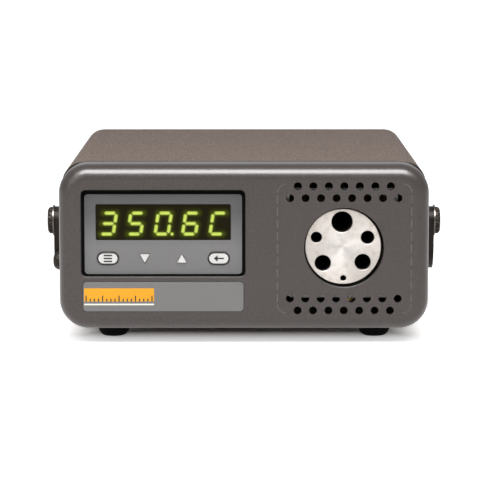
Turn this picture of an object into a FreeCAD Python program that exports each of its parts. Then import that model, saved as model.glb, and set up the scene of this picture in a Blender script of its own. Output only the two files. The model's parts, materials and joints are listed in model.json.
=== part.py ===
import FreeCAD
import Part
import Sketcher
import math
import os

# A bench dry block heater: a grey case on rubber feet, a bored block whose wells open on the front, a
# display with four keys, a folding bail handle, and the heater, boards and fan inside.
# Millimetres. X is to the right, Y goes from front to back, Z is up, and the feet stand on Z = 0.

SIZES = {
    # Case
    "case_width": 125.0,
    "case_height": 56.0,
    "case_depth": 150.0,
    "ground_gap": 5.0,
    "corner_radius": 10.0,
    "front_round": 5.0,
    "bezel_depth": 14.0,
    "bezel_wall": 2.4,
    "face_thickness": 3.0,
    "rim_lip": 1.0,
    "rim_groove": 0.7,
    "rim_depth": 0.4,
    "rim_break": 0.3,
    "cover_step": 0.5,
    "cover_round": 7.0,
    "sheet": 1.2,
    "seam_gap": 0.3,
    "split_rise": 14.0,
    "lip_height": 8.0,
    "lip_root": 6.0,
    "lip_setback": 5.0,
    "lap_clearance": 0.1,
    "panel_clearance": 0.15,
    "frame_thickness": 1.5,
    "frame_bar": 3.15,
    "flange_height": 5.0,
    "flange_width": 90.0,
    "rear_recess": 2.0,
    "rear_thickness": 1.5,
    # Screws
    "screw_clearance": 0.1,
    "boss_inset": 5.8,
    "boss_radius": 2.2,
    "bezel_screw_radius": 1.1,
    "bezel_screw_length": 8.0,
    "bezel_screw_head": 2.1,
    "cover_screw_radius": 1.4,
    "cover_screw_length": 4.0,
    "cover_screw_head": 2.8,
    "cover_screw_dome": 1.3,
    "cover_screw_front": 36.0,
    "cover_screw_rear": 26.0,
    "panel_screw_radius": 1.25,
    "panel_screw_length": 4.5,
    "panel_screw_head": 2.3,
    "panel_screw_spread": 38.0,
    "head_thickness": 1.4,
    # Feet
    "foot_radius": 5.6,
    "foot_spread": 45.0,
    "foot_setback": 21.0,
    "foot_taper": 0.9,
    "foot_round": 0.8,
    "foot_screw_radius": 1.5,
    "foot_screw_head": 2.6,
    "foot_pocket_play": 0.3,
    "foot_pocket_depth": 2.6,
    "foot_screw_reach": 3.5,
    # Handle
    "handle_gap": 14.0,
    "strap_thickness": 2.5,
    "strap_width": 10.0,
    "pivot_setback": 60.0,
    "pivot_rise": 30.2,
    "handle_drop": 12.9,
    "knee_round": 10.0,
    "knee_hollow": 4.0,
    "bend_radius": 6.0,
    "eye_flat": 0.2,
    "spacer_height": 3.5,
    "spacer_radius": 5.4,
    "handle_play": 0.1,
    "running_fit": 0.05,
    "pivot_radius": 2.5,
    "washer_radius": 5.6,
    "washer_thickness": 0.4,
    "pivot_head_radius": 4.8,
    "pivot_head_height": 1.9,
    "pivot_head_round": 1.2,
    "flute_radius": 0.4,
    "insert_radius": 5.0,
    "insert_height": 5.0,
    "stop_radius": 3.4,
    "stop_neck": 1.9,
    "stop_rise": 16.6,
    "stop_gap": 0.2,
    "stop_head": 3.6,
    "stop_round": 2.4,
    # Display
    "display_inset": 7.65,
    "display_top": 8.5,
    "opening_width": 55.3,
    "opening_height": 29.3,
    "opening_round": 1.7,
    "opening_break": 0.25,
    "panel_gap": 1.1,
    "panel_round": 1.2,
    "panel_recess": 1.9,
    "panel_drop": 0.45,
    "window_side": 4.95,
    "window_top": 5.0,
    "key_band": 12.3,
    "window_round": 0.5,
    "window_fit": 0.1,
    "window_recess": 0.15,
    "housing_rim": 0.9,
    "housing_wall": 3.2,
    "housing_depth": 16.0,
    "housing_back": 2.0,
    "housing_clearance": 0.3,
    "board_fit": 0.2,
    "board_thickness": 1.6,
    "key_board_setback": 7.0,
    "digit_edge": 0.075,
    "digit_spacing": 0.35,
    "digit_margin": 0.4,
    "digit_gap": 0.3,
    # Keys
    "key_rise": 6.0,
    "key_side": 8.945,
    "pill_width": 7.0,
    "pill_height": 4.0,
    "pill_gap": 0.35,
    "arrow_width": 3.2,
    "arrow_height": 2.8,
    "arrow_gap": 0.15,
    "key_proud": 0.35,
    "key_flange": 0.8,
    "key_flange_margin": 0.7,
    "key_seat_gap": 0.05,
    "key_stem_radius": 1.4,
    "key_stem_gap": 0.6,
    "switch_side": 6.0,
    "switch_height": 3.2,
    "plunger_radius": 1.7,
    "plunger_height": 0.8,
    # Label plate
    "label_gap": 1.6,
    "label_width": 54.4,
    "label_height": 10.4,
    "label_round": 1.5,
    "label_recess": 0.5,
    "label_fit": 0.15,
    "label_thickness": 0.45,
    # Heated block
    "block_inset": 29.1,
    "block_lift": 0.35,
    "block_radius": 12.8,
    "block_length": 102.0,
    "block_end": 8.0,
    "block_recess": 1.0,
    "block_gap": 0.6,
    "hole_right": 0.3,
    "hole_drop": 0.3,
    "mouth_chamfer": 0.1,
    "rim_chamfer": 0.15,
    "sensor_radius": 1.5,
    "sensor_drop": 6.4,
    "sensor_depth": 40.0,
    "sensor_end_gap": 0.2,
    "sensor_tail": 6.0,
    "band_front": 33.0,
    "band_rear": 11.0,
    "band_thickness": 1.8,
    "band_slot": 3.0,
    "cutout_radius": 5.5,
    "cutout_rise": 4.5,
    "cutout_height": 7.0,
    "support_front": 26.0,
    "support_rear": 8.0,
    "support_thickness": 3.0,
    "shield_side": 37.5,
    "shield_round": 2.0,
    "shield_thickness": 0.8,
    "shield_start": 10.0,
    "shield_overhang": 7.0,
    "sleeve_fit": 0.25,
    "post_radius": 3.4,
    "post_offset": 2.6,
    "post_setback": 3.9,
    "post_spread": 12.0,
    "post_rear": 92.0,
    # Vents
    "vent_radius": 1.35,
    "vent_pitch": 5.2,
    "vent_far": 21.1,
    "vent_near": 17.05,
    "vent_drop": 0.6,
    "vent_frame_half": 23.0,
    "vent_frame_round": 8.0,
    # Dashed line engraved round the vents
    "mark_left": 22.45,
    "mark_right": 1.1,
    "mark_top": 1.4,
    "mark_low": 0.75,
    "mark_step": 2.0,
    "mark_line": 0.45,
    "mark_depth": 0.25,
    "dash_length": 3.0,
    # Boards
    "board_inset": 9.5,
    "board_front": 45.0,
    "board_shield_gap": 5.85,
    "board_length": 70.0,
    "standoff_height": 8.0,
    "standoff_radius": 2.6,
    "standoff_inset": 4.0,
    "board_screw_radius": 1.4,
    "board_screw_length": 5.0,
    "board_screw_head": 2.5,
    "core_width": 20.0,
    "core_length": 30.0,
    "core_height": 24.0,
    "coil_bulge": 5.0,
    "coil_margin": 3.0,
    "coil_inset": 4.0,
    "transformer_x": 21.0,
    "transformer_rear": 20.0,
    "sink_inset": 3.5,
    "sink_front": 8.0,
    "sink_length": 26.0,
    "sink_height": 24.0,
    "sink_base": 2.5,
    "fin_length": 8.0,
    "fin_thickness": 1.2,
    "fin_pitch": 3.9,
    "triac_width": 10.2,
    "triac_height": 15.0,
    "triac_thickness": 4.4,
    "capacitor_radius": 6.0,
    "capacitor_height": 20.0,
    "capacitor_x": 14.0,
    "capacitor_y": 16.0,
    "terminal_gap": 1.5,
    "terminal_rear": 2.0,
    "terminal_width": 16.0,
    "terminal_depth": 8.0,
    "terminal_height": 10.0,
    "terminal_pitch": 5.0,
    # Fan
    "fan_gap": 1.3,
    "fan_depth": 10.0,
    "fan_round": 3.0,
    "fan_wall": 1.2,
    "fan_hole_inset": 4.0,
    "fan_screw_radius": 1.5,
    "fan_screw_head": 2.7,
    "fan_plate": 1.8,
    "fan_strut": 2.6,
    "strut_root": 0.8,
    "fan_hub": 9.5,
    "fan_axle": 1.5,
    "rotor_gap": 0.5,
    "rotor_depth": 6.6,
    "axle_depth": 5.6,
    "blade_gap": 1.2,
    "blade_root": 0.8,
    "blade_sweep": 3.4,
    "blade_thickness": 1.2,
    "blade_depth": 5.6,
    "grille_radius": 2.1,
    "grille_margin": 0.2,
    # Inlet, fuses, switch and jack
    "row_gap": 1.5,
    "inlet_inset": 26.5,
    "inlet_flange_width": 40.0,
    "inlet_flange_height": 27.0,
    "inlet_flange": 2.0,
    "inlet_flange_round": 2.0,
    "inlet_body_width": 37.0,
    "inlet_body_height": 23.0,
    "inlet_body_depth": 23.0,
    "cutout_fit": 0.2,
    "socket_offset": 6.5,
    "socket_width": 24.4,
    "socket_height": 16.6,
    "socket_chamfer": 4.5,
    "socket_depth": 18.0,
    "pin_width": 2.0,
    "pin_height": 4.0,
    "pin_length": 12.0,
    "pin_spread": 7.0,
    "pin_drop": 2.0,
    "drawer_offset": -13.5,
    "drawer_width": 8.6,
    "drawer_height": 19.0,
    "drawer_length": 22.5,
    "drawer_fit": 0.2,
    "drawer_lip": 1.0,
    "drawer_plate": 1.5,
    "fuse_radius": 2.5,
    "fuse_length": 20.0,
    "fuse_fit": 0.15,
    "fuse_spread": 4.4,
    "fuse_floor": 1.2,
    "switch_flange_width": 15.0,
    "switch_flange_height": 21.0,
    "switch_flange": 1.6,
    "switch_body_width": 12.8,
    "switch_body_height": 18.8,
    "switch_body_depth": 15.0,
    "switch_wall": 1.0,
    "switch_floor": 2.0,
    "rocker_radius": 8.1,
    "rocker_side_play": 0.2,
    "rocker_set": 1.0,
    "rocker_axle": 1.0,
    "rocker_face": 2.6,
    "rocker_tilt": 20.0,
    "rocker_back": 4.0,
    "jack_gap": 1.5,
    "jack_radius": 3.9,
    "jack_proud": 4.2,
    "jack_body": 9.0,
    "jack_body_depth": 12.0,
    "jack_bore": 1.8,
    "jack_bore_depth": 14.0,
    "jack_nut_radius": 5.4,
    "jack_nut_height": 2.2,
}

# Wells seen from the front: offset right of and above the block's centre, and bore radius.
WELLS = {
    "top": (-0.35, 8.3, 3.6),
    "right_upper": (8.25, 3.05, 2.3),
    "left_upper": (-9.0, 3.1, 1.9),
    "left_lower": (-6.8, -5.65, 2.75),
    "right_lower": (6.65, -5.3, 2.75),
    "probe": (0.1, -10.8, 1.0),
}
for well, (right, up, radius) in WELLS.items():
    SIZES[f"well_{well}_right"] = right
    SIZES[f"well_{well}_up"] = up
    SIZES[f"well_{well}_radius"] = radius

OUTER_VENTS = 7
INNER_VENTS = 8
DASHES = 9
DIGITS = 5
FLUTES = 16
FAN_BLADES = 7
FINS = 7
GRILLE_RINGS = 3
HOLES_PER_RING = 6
NEAR = 0.01

doc = FreeCAD.newDocument("dry_block_heater")
sheet = doc.addObject("Spreadsheet::Sheet", "dims")
for row, (alias, number) in enumerate(SIZES.items(), start=1):
    sheet.set(f"A{row}", alias)
    sheet.set(f"B{row}", str(number))
    sheet.setAlias(f"B{row}", alias)
doc.recompute()

nodes = {}


class Dim:
    """A size that carries its number and the sheet expression that it comes from."""

    def __init__(self, number, text):
        self.number = number
        self.text = text

    def __add__(self, other):
        other = dim(other)
        return Dim(self.number + other.number, f"({self.text} + {other.text})")

    __radd__ = __add__

    def __sub__(self, other):
        other = dim(other)
        return Dim(self.number - other.number, f"({self.text} - {other.text})")

    def __rsub__(self, other):
        return dim(other) - self

    def __mul__(self, other):
        other = dim(other)
        return Dim(self.number * other.number, f"({self.text} * {other.text})")

    __rmul__ = __mul__

    def __truediv__(self, other):
        other = dim(other)
        return Dim(self.number / other.number, f"({self.text} / {other.text})")

    def __neg__(self):
        return self * -1


class Sheet:
    """Reads the sheet's cells by name."""

    def __getattr__(self, alias):
        return Dim(SIZES[alias], f"dims.{alias}")


def dim(value):
    """A bare number as a size."""
    return value if isinstance(value, Dim) else Dim(value, repr(value))


def root(value):
    """The square root of a size."""
    return Dim(math.sqrt(value.number), f"sqrt({value.text})")


d = Sheet()

# Levels and faces that several pieces share.
FRONT = -(d.case_depth + d.handle_gap + d.strap_thickness) / 2
BACK = FRONT + d.case_depth
BOTTOM = d.ground_gap
MIDDLE = BOTTOM + d.case_height / 2
TOP = BOTTOM + d.case_height
SPLIT = BOTTOM + d.split_rise
SIDE = d.case_width / 2 - d.cover_step
INNER_SIDE = SIDE - d.sheet
FLOOR = BOTTOM + d.cover_step + d.sheet
COVER_FRONT = FRONT + d.bezel_depth + d.seam_gap
FRAME_FRONT = FRONT + d.bezel_depth
FRAME_BACK = FRAME_FRONT + d.frame_thickness
PANEL_OUTER = BACK - d.rear_recess
PANEL_INNER = PANEL_OUTER - d.rear_thickness
BLOCK_X = d.case_width / 2 - d.block_inset
BLOCK_Z = MIDDLE + d.block_lift
HOLE_X = BLOCK_X + d.hole_right
VENT_Z = BLOCK_Z - d.vent_drop
BLOCK_FRONT = FRONT + d.block_recess
BORED_END = BLOCK_FRONT + d.block_length
BLOCK_BACK = BORED_END + d.block_end


def bind(obj, **sizes):
    """Ties an object's properties to the sheet."""
    for name, value in sizes.items():
        obj.setExpression(name, dim(value).text)


def place(obj, x, y, z):
    """Ties an object's position to the sheet."""
    for axis, value in zip("xyz", (x, y, z)):
        obj.setExpression(f"Placement.Base.{axis}", dim(value).text)


def node(label, obj):
    """Names a finished piece."""
    obj.Label = label
    nodes[label] = obj
    return obj


def box(name, low, size):
    """A block from its lowest corner and its extents."""
    made = doc.addObject("Part::Box", name)
    bind(made, Length=size[0], Width=size[1], Height=size[2])
    place(made, *low)
    return made


TURNS = {
    "X": FreeCAD.Rotation(FreeCAD.Vector(0, 1, 0), 90),
    "Y": FreeCAD.Rotation(FreeCAD.Vector(1, 0, 0), -90),
    "Z": FreeCAD.Rotation(),
}


def rod(name, along, base, radius, length):
    """A cylinder that starts at base and runs along +X, +Y or +Z."""
    made = doc.addObject("Part::Cylinder", name)
    made.Placement = FreeCAD.Placement(FreeCAD.Vector(), TURNS[along])
    bind(made, Radius=radius, Height=length)
    place(made, *base)
    return made


def fuse(name, *solids):
    """Joins solids into one."""
    made = doc.addObject("Part::MultiFuse", name)
    made.Shapes = list(solids)
    return made


def cut(name, base, *tools):
    """Takes tools away from a base."""
    made = doc.addObject("Part::Cut", name)
    made.Base = base
    made.Tool = tools[0] if len(tools) == 1 else fuse(name + "_tools", *tools)
    return made


def group(name, solids):
    """Like pieces that stay separate solids under one name."""
    made = doc.addObject("Part::Compound", name)
    made.Links = list(solids)
    return made


def ring(name, along, base, outer, inner, length):
    """A tube or washer."""
    tube = rod(name + "_outer", along, base, outer, length)
    return cut(name, tube, rod(name + "_bore", along, base, inner, length))


def upright_sketch(name, level):
    """A sketch seen from the front that belongs to no body."""
    made = doc.addObject("Sketcher::SketchObject", name)
    made.Placement = FreeCAD.Placement(FreeCAD.Vector(), TURNS["Y"].inverted())
    place(made, 0.0, level, 0.0)
    return made


def flat_plate(name, sketch, thickness):
    """A flat plate that runs back from its outline."""
    made = doc.addObject("Part::Extrusion", name)
    made.Base = sketch
    made.DirMode = "Custom"
    made.Dir = FreeCAD.Vector(0, 1, 0)
    made.Solid = True
    bind(made, LengthFwd=thickness)
    return made


class Piece:
    """One body built up from sketches and features."""

    def __init__(self, label):
        self.label = label
        self.body = node(label, doc.addObject("PartDesign::Body", label))
        self.planes = {feature.Role: feature for feature in self.body.Origin.OriginFeatures}

    def sketch(self, plane, level, right=0.0, up=0.0):
        """A sketch in front view, plan or side view, with its origin moved to right, up."""
        role, away = {"front": ("XZ_Plane", -1), "plan": ("XY_Plane", 1), "side": ("YZ_Plane", 1)}[plane]
        made = self.body.newObject("Sketcher::SketchObject", f"{self.label}_sketch")
        made.AttachmentSupport = [(self.planes[role], "")]
        made.MapMode = "FlatFace"
        for axis, value in zip("xyz", (right, up, dim(level) * away)):
            made.setExpression(f"AttachmentOffset.Base.{axis}", dim(value).text)
        return made

    def feature(self, kind, sketch):
        """An empty feature on a sketch."""
        made = self.body.newObject(f"PartDesign::{kind}", f"{self.label}_{kind.lower()}")
        made.Profile = sketch
        return made

    def settle(self, made):
        """Rebuilds the body and makes sure that the feature changed it."""
        before = self.volume
        doc.recompute()
        if "Invalid" in made.State or abs(self.body.Shape.Volume - before) < NEAR / 10:
            raise RuntimeError(f"{made.Name} did nothing to {self.label}")
        return made

    @property
    def volume(self):
        return 0.0 if self.body.Shape.isNull() else self.body.Shape.Volume

    def pad(self, sketch, length, backward=False, both=False):
        """Adds a prism; backward turns it against the sketch's normal."""
        made = self.feature("Pad", sketch)
        bind(made, Length=length)
        made.Reversed = backward
        made.Midplane = both
        return self.settle(made)

    def pocket(self, sketch, depth=None, backward=False, both=False):
        """Cuts a prism, all the way through when no depth is given."""
        made = self.feature("Pocket", sketch)
        made.Reversed = backward
        if depth is None:
            made.Type = "ThroughAll"
            made.Midplane = both
        else:
            bind(made, Length=depth)
        return self.settle(made)

    def revolve(self, sketch):
        """Spins a profile about its sketch's upright axis."""
        made = self.feature("Revolution", sketch)
        made.ReferenceAxis = (sketch, ["V_Axis"])
        made.Angle = 360
        return self.settle(made)

    def row(self, original, sketch, length, count):
        """Repeats a feature along its sketch's level axis."""
        made = self.body.newObject("PartDesign::LinearPattern", f"{self.label}_row")
        made.Originals = [original]
        made.Direction = (sketch, ["H_Axis"])
        bind(made, Length=length)
        made.Occurrences = count
        self.body.Tip = made
        return self.settle(made)

    def circle(self, original, sketch, count):
        """Repeats a feature around a sketch's own origin."""
        made = self.body.newObject("PartDesign::PolarPattern", f"{self.label}_circle")
        made.Originals = [original]
        made.Axis = (sketch, ["N_Axis"])
        made.Angle = 360
        made.Occurrences = count
        self.body.Tip = made
        return self.settle(made)

    def edges(self, keep):
        """Names of the edges that a rule keeps."""
        doc.recompute()
        found = [f"Edge{i}" for i, edge in enumerate(self.body.Tip.Shape.Edges, start=1) if keep(edge)]
        if not found:
            raise RuntimeError(f"no edge of {self.label} fits the rule")
        return found

    def fillet(self, radius, keep):
        """Rounds the edges that a rule keeps."""
        names = self.edges(keep)
        base = self.body.Tip
        made = self.body.newObject("PartDesign::Fillet", f"{self.label}_fillet")
        made.Base = (base, names)
        bind(made, Radius=radius)
        return self.settle(made)

    def chamfer(self, size, keep):
        """Breaks the edges that a rule keeps."""
        names = self.edges(keep)
        base = self.body.Tip
        made = self.body.newObject("PartDesign::Chamfer", f"{self.label}_chamfer")
        made.Base = (base, names)
        bind(made, Size=size)
        return self.settle(made)


def lies_at(axis, level):
    """A rule that keeps edges in one plane square to an axis."""

    def keep(edge):
        low = getattr(edge.BoundBox, axis + "Min")
        high = getattr(edge.BoundBox, axis + "Max")
        return max(abs(low - level.number), abs(high - level.number)) < NEAR

    return keep


def runs(axis, **spots):
    """A rule that keeps straight edges along an axis at the given spots on the other axes."""

    def keep(edge):
        long = [a for a in "XYZ" if getattr(edge.BoundBox, a + "Length") > NEAR]
        centre = edge.BoundBox.Center
        near = [abs(getattr(centre, a.lower()) - level.number) < NEAR for a, level in spots.items()]
        return long == [axis] and all(near)

    return keep


def constrain(sketch, kind, *where, value=None):
    """Adds one constraint, tied to the sheet where it has a size."""
    if value is None:
        return sketch.addConstraint(Sketcher.Constraint(kind, *where))
    index = sketch.addConstraint(Sketcher.Constraint(kind, *where, dim(value).number))
    sketch.setExpression(f"Constraints[{index}]", dim(value).text)
    return index


def spot(sketch, geometry, point, x, y):
    """Holds a point of the geometry at x, y of the sketch."""
    constrain(sketch, "DistanceX", -1, 1, geometry, point, value=x)
    constrain(sketch, "DistanceY", -1, 1, geometry, point, value=y)


def vector(x, y):
    return FreeCAD.Vector(dim(x).number, dim(y).number, 0)


UPRIGHT = FreeCAD.Vector(0, 0, 1)


def round_hole(sketch, x, y, radius):
    """A circle."""
    made = sketch.addGeometry(Part.Circle(vector(x, y), UPRIGHT, dim(radius).number))
    spot(sketch, made, 3, x, y)
    constrain(sketch, "Radius", made, value=radius)


def outline(sketch, points):
    """A closed run of straight lines."""
    ends = points[1:] + points[:1]
    lines = [sketch.addGeometry(Part.LineSegment(vector(*a), vector(*b))) for a, b in zip(points, ends)]
    for line, following in zip(lines, lines[1:] + lines[:1]):
        constrain(sketch, "Coincident", line, 2, following, 1)
    for line, point in zip(lines, points):
        spot(sketch, line, 1, *point)


def rectangle(sketch, x, y, width, height):
    """A plain rectangle about x, y."""
    left, right = x - width / 2, x + width / 2
    low, high = y - height / 2, y + height / 2
    outline(sketch, [(left, low), (right, low), (right, high), (left, high)])


def quarter_arc(sketch, x, y, radius, start):
    """A quarter circle, counted in quarter turns from the right."""
    circle = Part.Circle(vector(x, y), UPRIGHT, dim(radius).number)
    turn = math.pi / 2
    return sketch.addGeometry(Part.ArcOfCircle(circle, start * turn, (start + 1) * turn))


def rounded_rectangle(sketch, x, y, width, height, radius):
    """A rectangle about x, y with round corners."""
    x, y = dim(x), dim(y)
    left, right = x - width / 2 + radius, x + width / 2 - radius
    low, high = y - height / 2 + radius, y + height / 2 - radius
    edges = [
        ((left, low - radius), (right, low - radius)),
        ((right + radius, low), (right + radius, high)),
        ((right, high + radius), (left, high + radius)),
        ((left - radius, high), (left - radius, low)),
    ]
    lines = [sketch.addGeometry(Part.LineSegment(vector(*a), vector(*b))) for a, b in edges]
    corners = [(right, low, -1), (right, high, 0), (left, high, 1), (left, low, 2)]
    arcs = [quarter_arc(sketch, cx, cy, radius, start) for cx, cy, start in corners]
    for i, arc in enumerate(arcs):
        constrain(sketch, "Tangent", lines[i], 2, arc, 1)
        constrain(sketch, "Tangent", arc, 2, lines[(i + 1) % 4], 1)
        constrain(sketch, "Vertical" if i % 2 else "Horizontal", lines[i])
    for arc in arcs[1:]:
        constrain(sketch, "Equal", arcs[0], arc)
    constrain(sketch, "Radius", arcs[0], value=radius)
    spot(sketch, arcs[3], 3, left, low)
    constrain(sketch, "DistanceX", arcs[3], 3, arcs[0], 3, value=right - left)
    constrain(sketch, "DistanceY", arcs[0], 3, arcs[1], 3, value=high - low)


def corner_dash(sketch, x, y, radius, line, start):
    """A quarter ring about x, y, counted in quarter turns from the right."""
    rims = []
    for reach in (radius + line / 2, radius - line / 2):
        rim = quarter_arc(sketch, x, y, reach, start)
        spot(sketch, rim, 3, x, y)
        constrain(sketch, "Radius", rim, value=reach)
        constrain(sketch, "Vertical" if start % 2 else "Horizontal", rim, 1, rim, 3)
        constrain(sketch, "Horizontal" if start % 2 else "Vertical", rim, 2, rim, 3)
        rims.append((rim, reach))
    (outer, far), (inner, near) = rims
    for point, turn in ((1, start), (2, start + 1)):
        across, rise = round(math.cos(turn * math.pi / 2)), round(math.sin(turn * math.pi / 2))
        ends = [vector(x + across * reach, y + rise * reach) for reach in (far, near)]
        side = sketch.addGeometry(Part.LineSegment(*ends))
        constrain(sketch, "Coincident", side, 1, outer, point)
        constrain(sketch, "Coincident", side, 2, inner, point)


def pill(sketch, x, y, width, height):
    """A level slot with round ends about x, y."""
    radius = height / 2
    left, right = x - width / 2 + radius, x + width / 2 - radius
    low = sketch.addGeometry(Part.LineSegment(vector(left, y - radius), vector(right, y - radius)))
    high = sketch.addGeometry(Part.LineSegment(vector(right, y + radius), vector(left, y + radius)))
    half = math.pi / 2
    end = Part.Circle(vector(right, y), UPRIGHT, radius.number)
    start = Part.Circle(vector(left, y), UPRIGHT, radius.number)
    right_arc = sketch.addGeometry(Part.ArcOfCircle(end, -half, half))
    left_arc = sketch.addGeometry(Part.ArcOfCircle(start, half, 3 * half))
    constrain(sketch, "Tangent", low, 2, right_arc, 1)
    constrain(sketch, "Tangent", right_arc, 2, high, 1)
    constrain(sketch, "Tangent", high, 2, left_arc, 1)
    constrain(sketch, "Tangent", left_arc, 2, low, 1)
    constrain(sketch, "Horizontal", low)
    constrain(sketch, "Equal", right_arc, left_arc)
    constrain(sketch, "Radius", right_arc, value=radius)
    spot(sketch, left_arc, 3, left, y)
    constrain(sketch, "DistanceX", left_arc, 3, right_arc, 3, value=right - left)


def arrow(sketch, x, y, width, height, up):
    """A triangle about x, y that points up or down."""
    tip = height / 2 * (1 if up else -1)
    outline(sketch, [(x - width / 2, y - tip), (x + width / 2, y - tip), (x, y + tip)])


def arrow_margin(gap):
    """What a gap all round adds to an arrow's width and height."""
    slant = root(d.arrow_width * d.arrow_width / 4 + d.arrow_height * d.arrow_height)
    half = d.arrow_width / 2
    rise = gap * slant / half + gap
    return rise * d.arrow_width / d.arrow_height, rise


BOSSES = [
    (side * (d.case_width / 2 - d.boss_inset), MIDDLE + level * (d.case_height / 2 - d.boss_inset))
    for side in (-1, 1)
    for level in (-1, 1)
]
VENT_ROWS = [
    (d.vent_far, OUTER_VENTS),
    (d.vent_near, INNER_VENTS),
    (-d.vent_near, INNER_VENTS),
    (-d.vent_far, OUTER_VENTS),
]
DISPLAY_X = d.display_inset + d.opening_width / 2 - d.case_width / 2
DISPLAY_Z = TOP - d.display_top - d.opening_height / 2
LABEL_Z = DISPLAY_Z - d.opening_height / 2 - d.label_gap - d.label_height / 2
PANEL_WIDTH = d.opening_width - 2 * d.panel_gap
PANEL_HEIGHT = d.opening_height - 2 * d.panel_gap


def rim_groove(piece):
    """The groove round the bezel near its rear edge, and the lip behind it."""
    level = FRAME_FRONT - d.rim_lip
    groove = piece.sketch("front", level)
    rounded_rectangle(groove, 0, MIDDLE, 2 * d.case_width, 2 * d.case_height, d.corner_radius)
    width, height = d.case_width - 2 * d.rim_depth, d.case_height - 2 * d.rim_depth
    rounded_rectangle(groove, 0, MIDDLE, width, height, d.corner_radius - d.rim_depth)
    piece.pocket(groove, d.rim_groove, backward=True)
    half_width = (d.case_width / 2).number

    def outer_edge(edge):
        bounds = edge.BoundBox
        wide = max(bounds.XMax, -bounds.XMin) > half_width - NEAR
        tall = bounds.ZMax > TOP.number - NEAR or bounds.ZMin < BOTTOM.number + NEAR
        return lies_at("Y", level)(edge) and (wide or tall)

    piece.chamfer(d.rim_break, outer_edge)


def opening_edge(edge):
    """A rule that keeps the front edges of the display opening and of the block's hole."""
    bounds = edge.BoundBox
    across = abs(bounds.Center.x - DISPLAY_X.number) + bounds.XLength / 2
    rise = abs(bounds.Center.z - DISPLAY_Z.number) + bounds.ZLength / 2
    of_display = across < d.opening_width.number / 2 + NEAR and rise < d.opening_height.number / 2 + NEAR
    of_hole = min(bounds.XLength, bounds.ZLength) > d.block_radius.number
    return lies_at("Y", FRONT)(edge) and (of_display or of_hole)


def dashed_line(piece):
    """A dashed line engraved round the block on the flat of the face, left open along the vents."""
    left, right = HOLE_X - d.mark_left, d.case_width / 2 - d.front_round - d.mark_right
    low, high = BOTTOM + d.front_round + d.mark_low, TOP - d.front_round - d.mark_top
    turn = d.corner_radius - d.front_round - d.mark_step
    corners = piece.sketch("front", FRONT)
    corner_dash(corners, right - turn, high - turn, turn, d.mark_line, 0)
    corner_dash(corners, left + turn, high - turn, turn, d.mark_line, 1)
    corner_dash(corners, left + turn, low + turn, turn, d.mark_line, 2)
    corner_dash(corners, right - turn, low + turn, turn, d.mark_line, 3)
    piece.pocket(corners, d.mark_depth)
    pitch = (high - low - 2 * turn) / DASHES
    for side in (left, right):
        dashes = piece.sketch("front", FRONT)
        for step in range(DASHES):
            rectangle(dashes, side, low + turn + pitch * (step + 0.5), d.mark_line, d.dash_length)
        piece.pocket(dashes, d.mark_depth)


def front_bezel():
    """The moulded front with its display opening, label recess, block hole and vents."""
    piece = Piece("front_bezel")
    rim = piece.sketch("front", FRONT)
    rounded_rectangle(rim, 0, MIDDLE, d.case_width, d.case_height, d.corner_radius)
    piece.pad(rim, d.bezel_depth, backward=True)
    piece.fillet(d.front_round, lies_at("Y", FRONT))
    hollow = piece.sketch("front", FRAME_FRONT)
    inner_round = d.corner_radius - d.bezel_wall
    width, height = d.case_width - 2 * d.bezel_wall, d.case_height - 2 * d.bezel_wall
    rounded_rectangle(hollow, 0, MIDDLE, width, height, inner_round)
    piece.pocket(hollow, d.bezel_depth - d.face_thickness, backward=True)
    bosses = piece.sketch("front", FRONT + d.face_thickness)
    for x, z in BOSSES:
        round_hole(bosses, x, z, d.boss_radius)
    piece.pad(bosses, d.bezel_depth - d.face_thickness, backward=True)
    pilots = piece.sketch("front", FRAME_FRONT)
    for x, z in BOSSES:
        round_hole(pilots, x, z, d.bezel_screw_radius + d.screw_clearance)
    piece.pocket(pilots, d.bezel_screw_length, backward=True)
    rim_groove(piece)
    opening = piece.sketch("front", FRONT)
    rounded_rectangle(opening, DISPLAY_X, DISPLAY_Z, d.opening_width, d.opening_height, d.opening_round)
    piece.pocket(opening, d.face_thickness)
    block = piece.sketch("front", FRONT)
    round_hole(block, HOLE_X, BLOCK_Z - d.hole_drop, d.block_radius + d.block_gap)
    piece.pocket(block, d.face_thickness)
    piece.chamfer(d.opening_break, opening_edge)
    label = piece.sketch("front", FRONT)
    rounded_rectangle(label, DISPLAY_X, LABEL_Z, d.label_width, d.label_height, d.label_round)
    piece.pocket(label, d.label_recess)
    for rise, count in VENT_ROWS:
        length = d.vent_pitch * (count - 1)
        vent = piece.sketch("front", FRONT)
        round_hole(vent, HOLE_X - length / 2, VENT_Z + rise, d.vent_radius)
        piece.row(piece.pocket(vent, d.face_thickness), vent, length, count)
    dashed_line(piece)


def tube_outline(sketch, inset):
    """The case's cross-section behind the bezel, inset from the cover's outer face."""
    width = 2 * (SIDE - inset)
    height = d.case_height - 2 * (d.cover_step + inset)
    rounded_rectangle(sketch, 0, MIDDLE, width, height, d.cover_round - inset)


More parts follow.
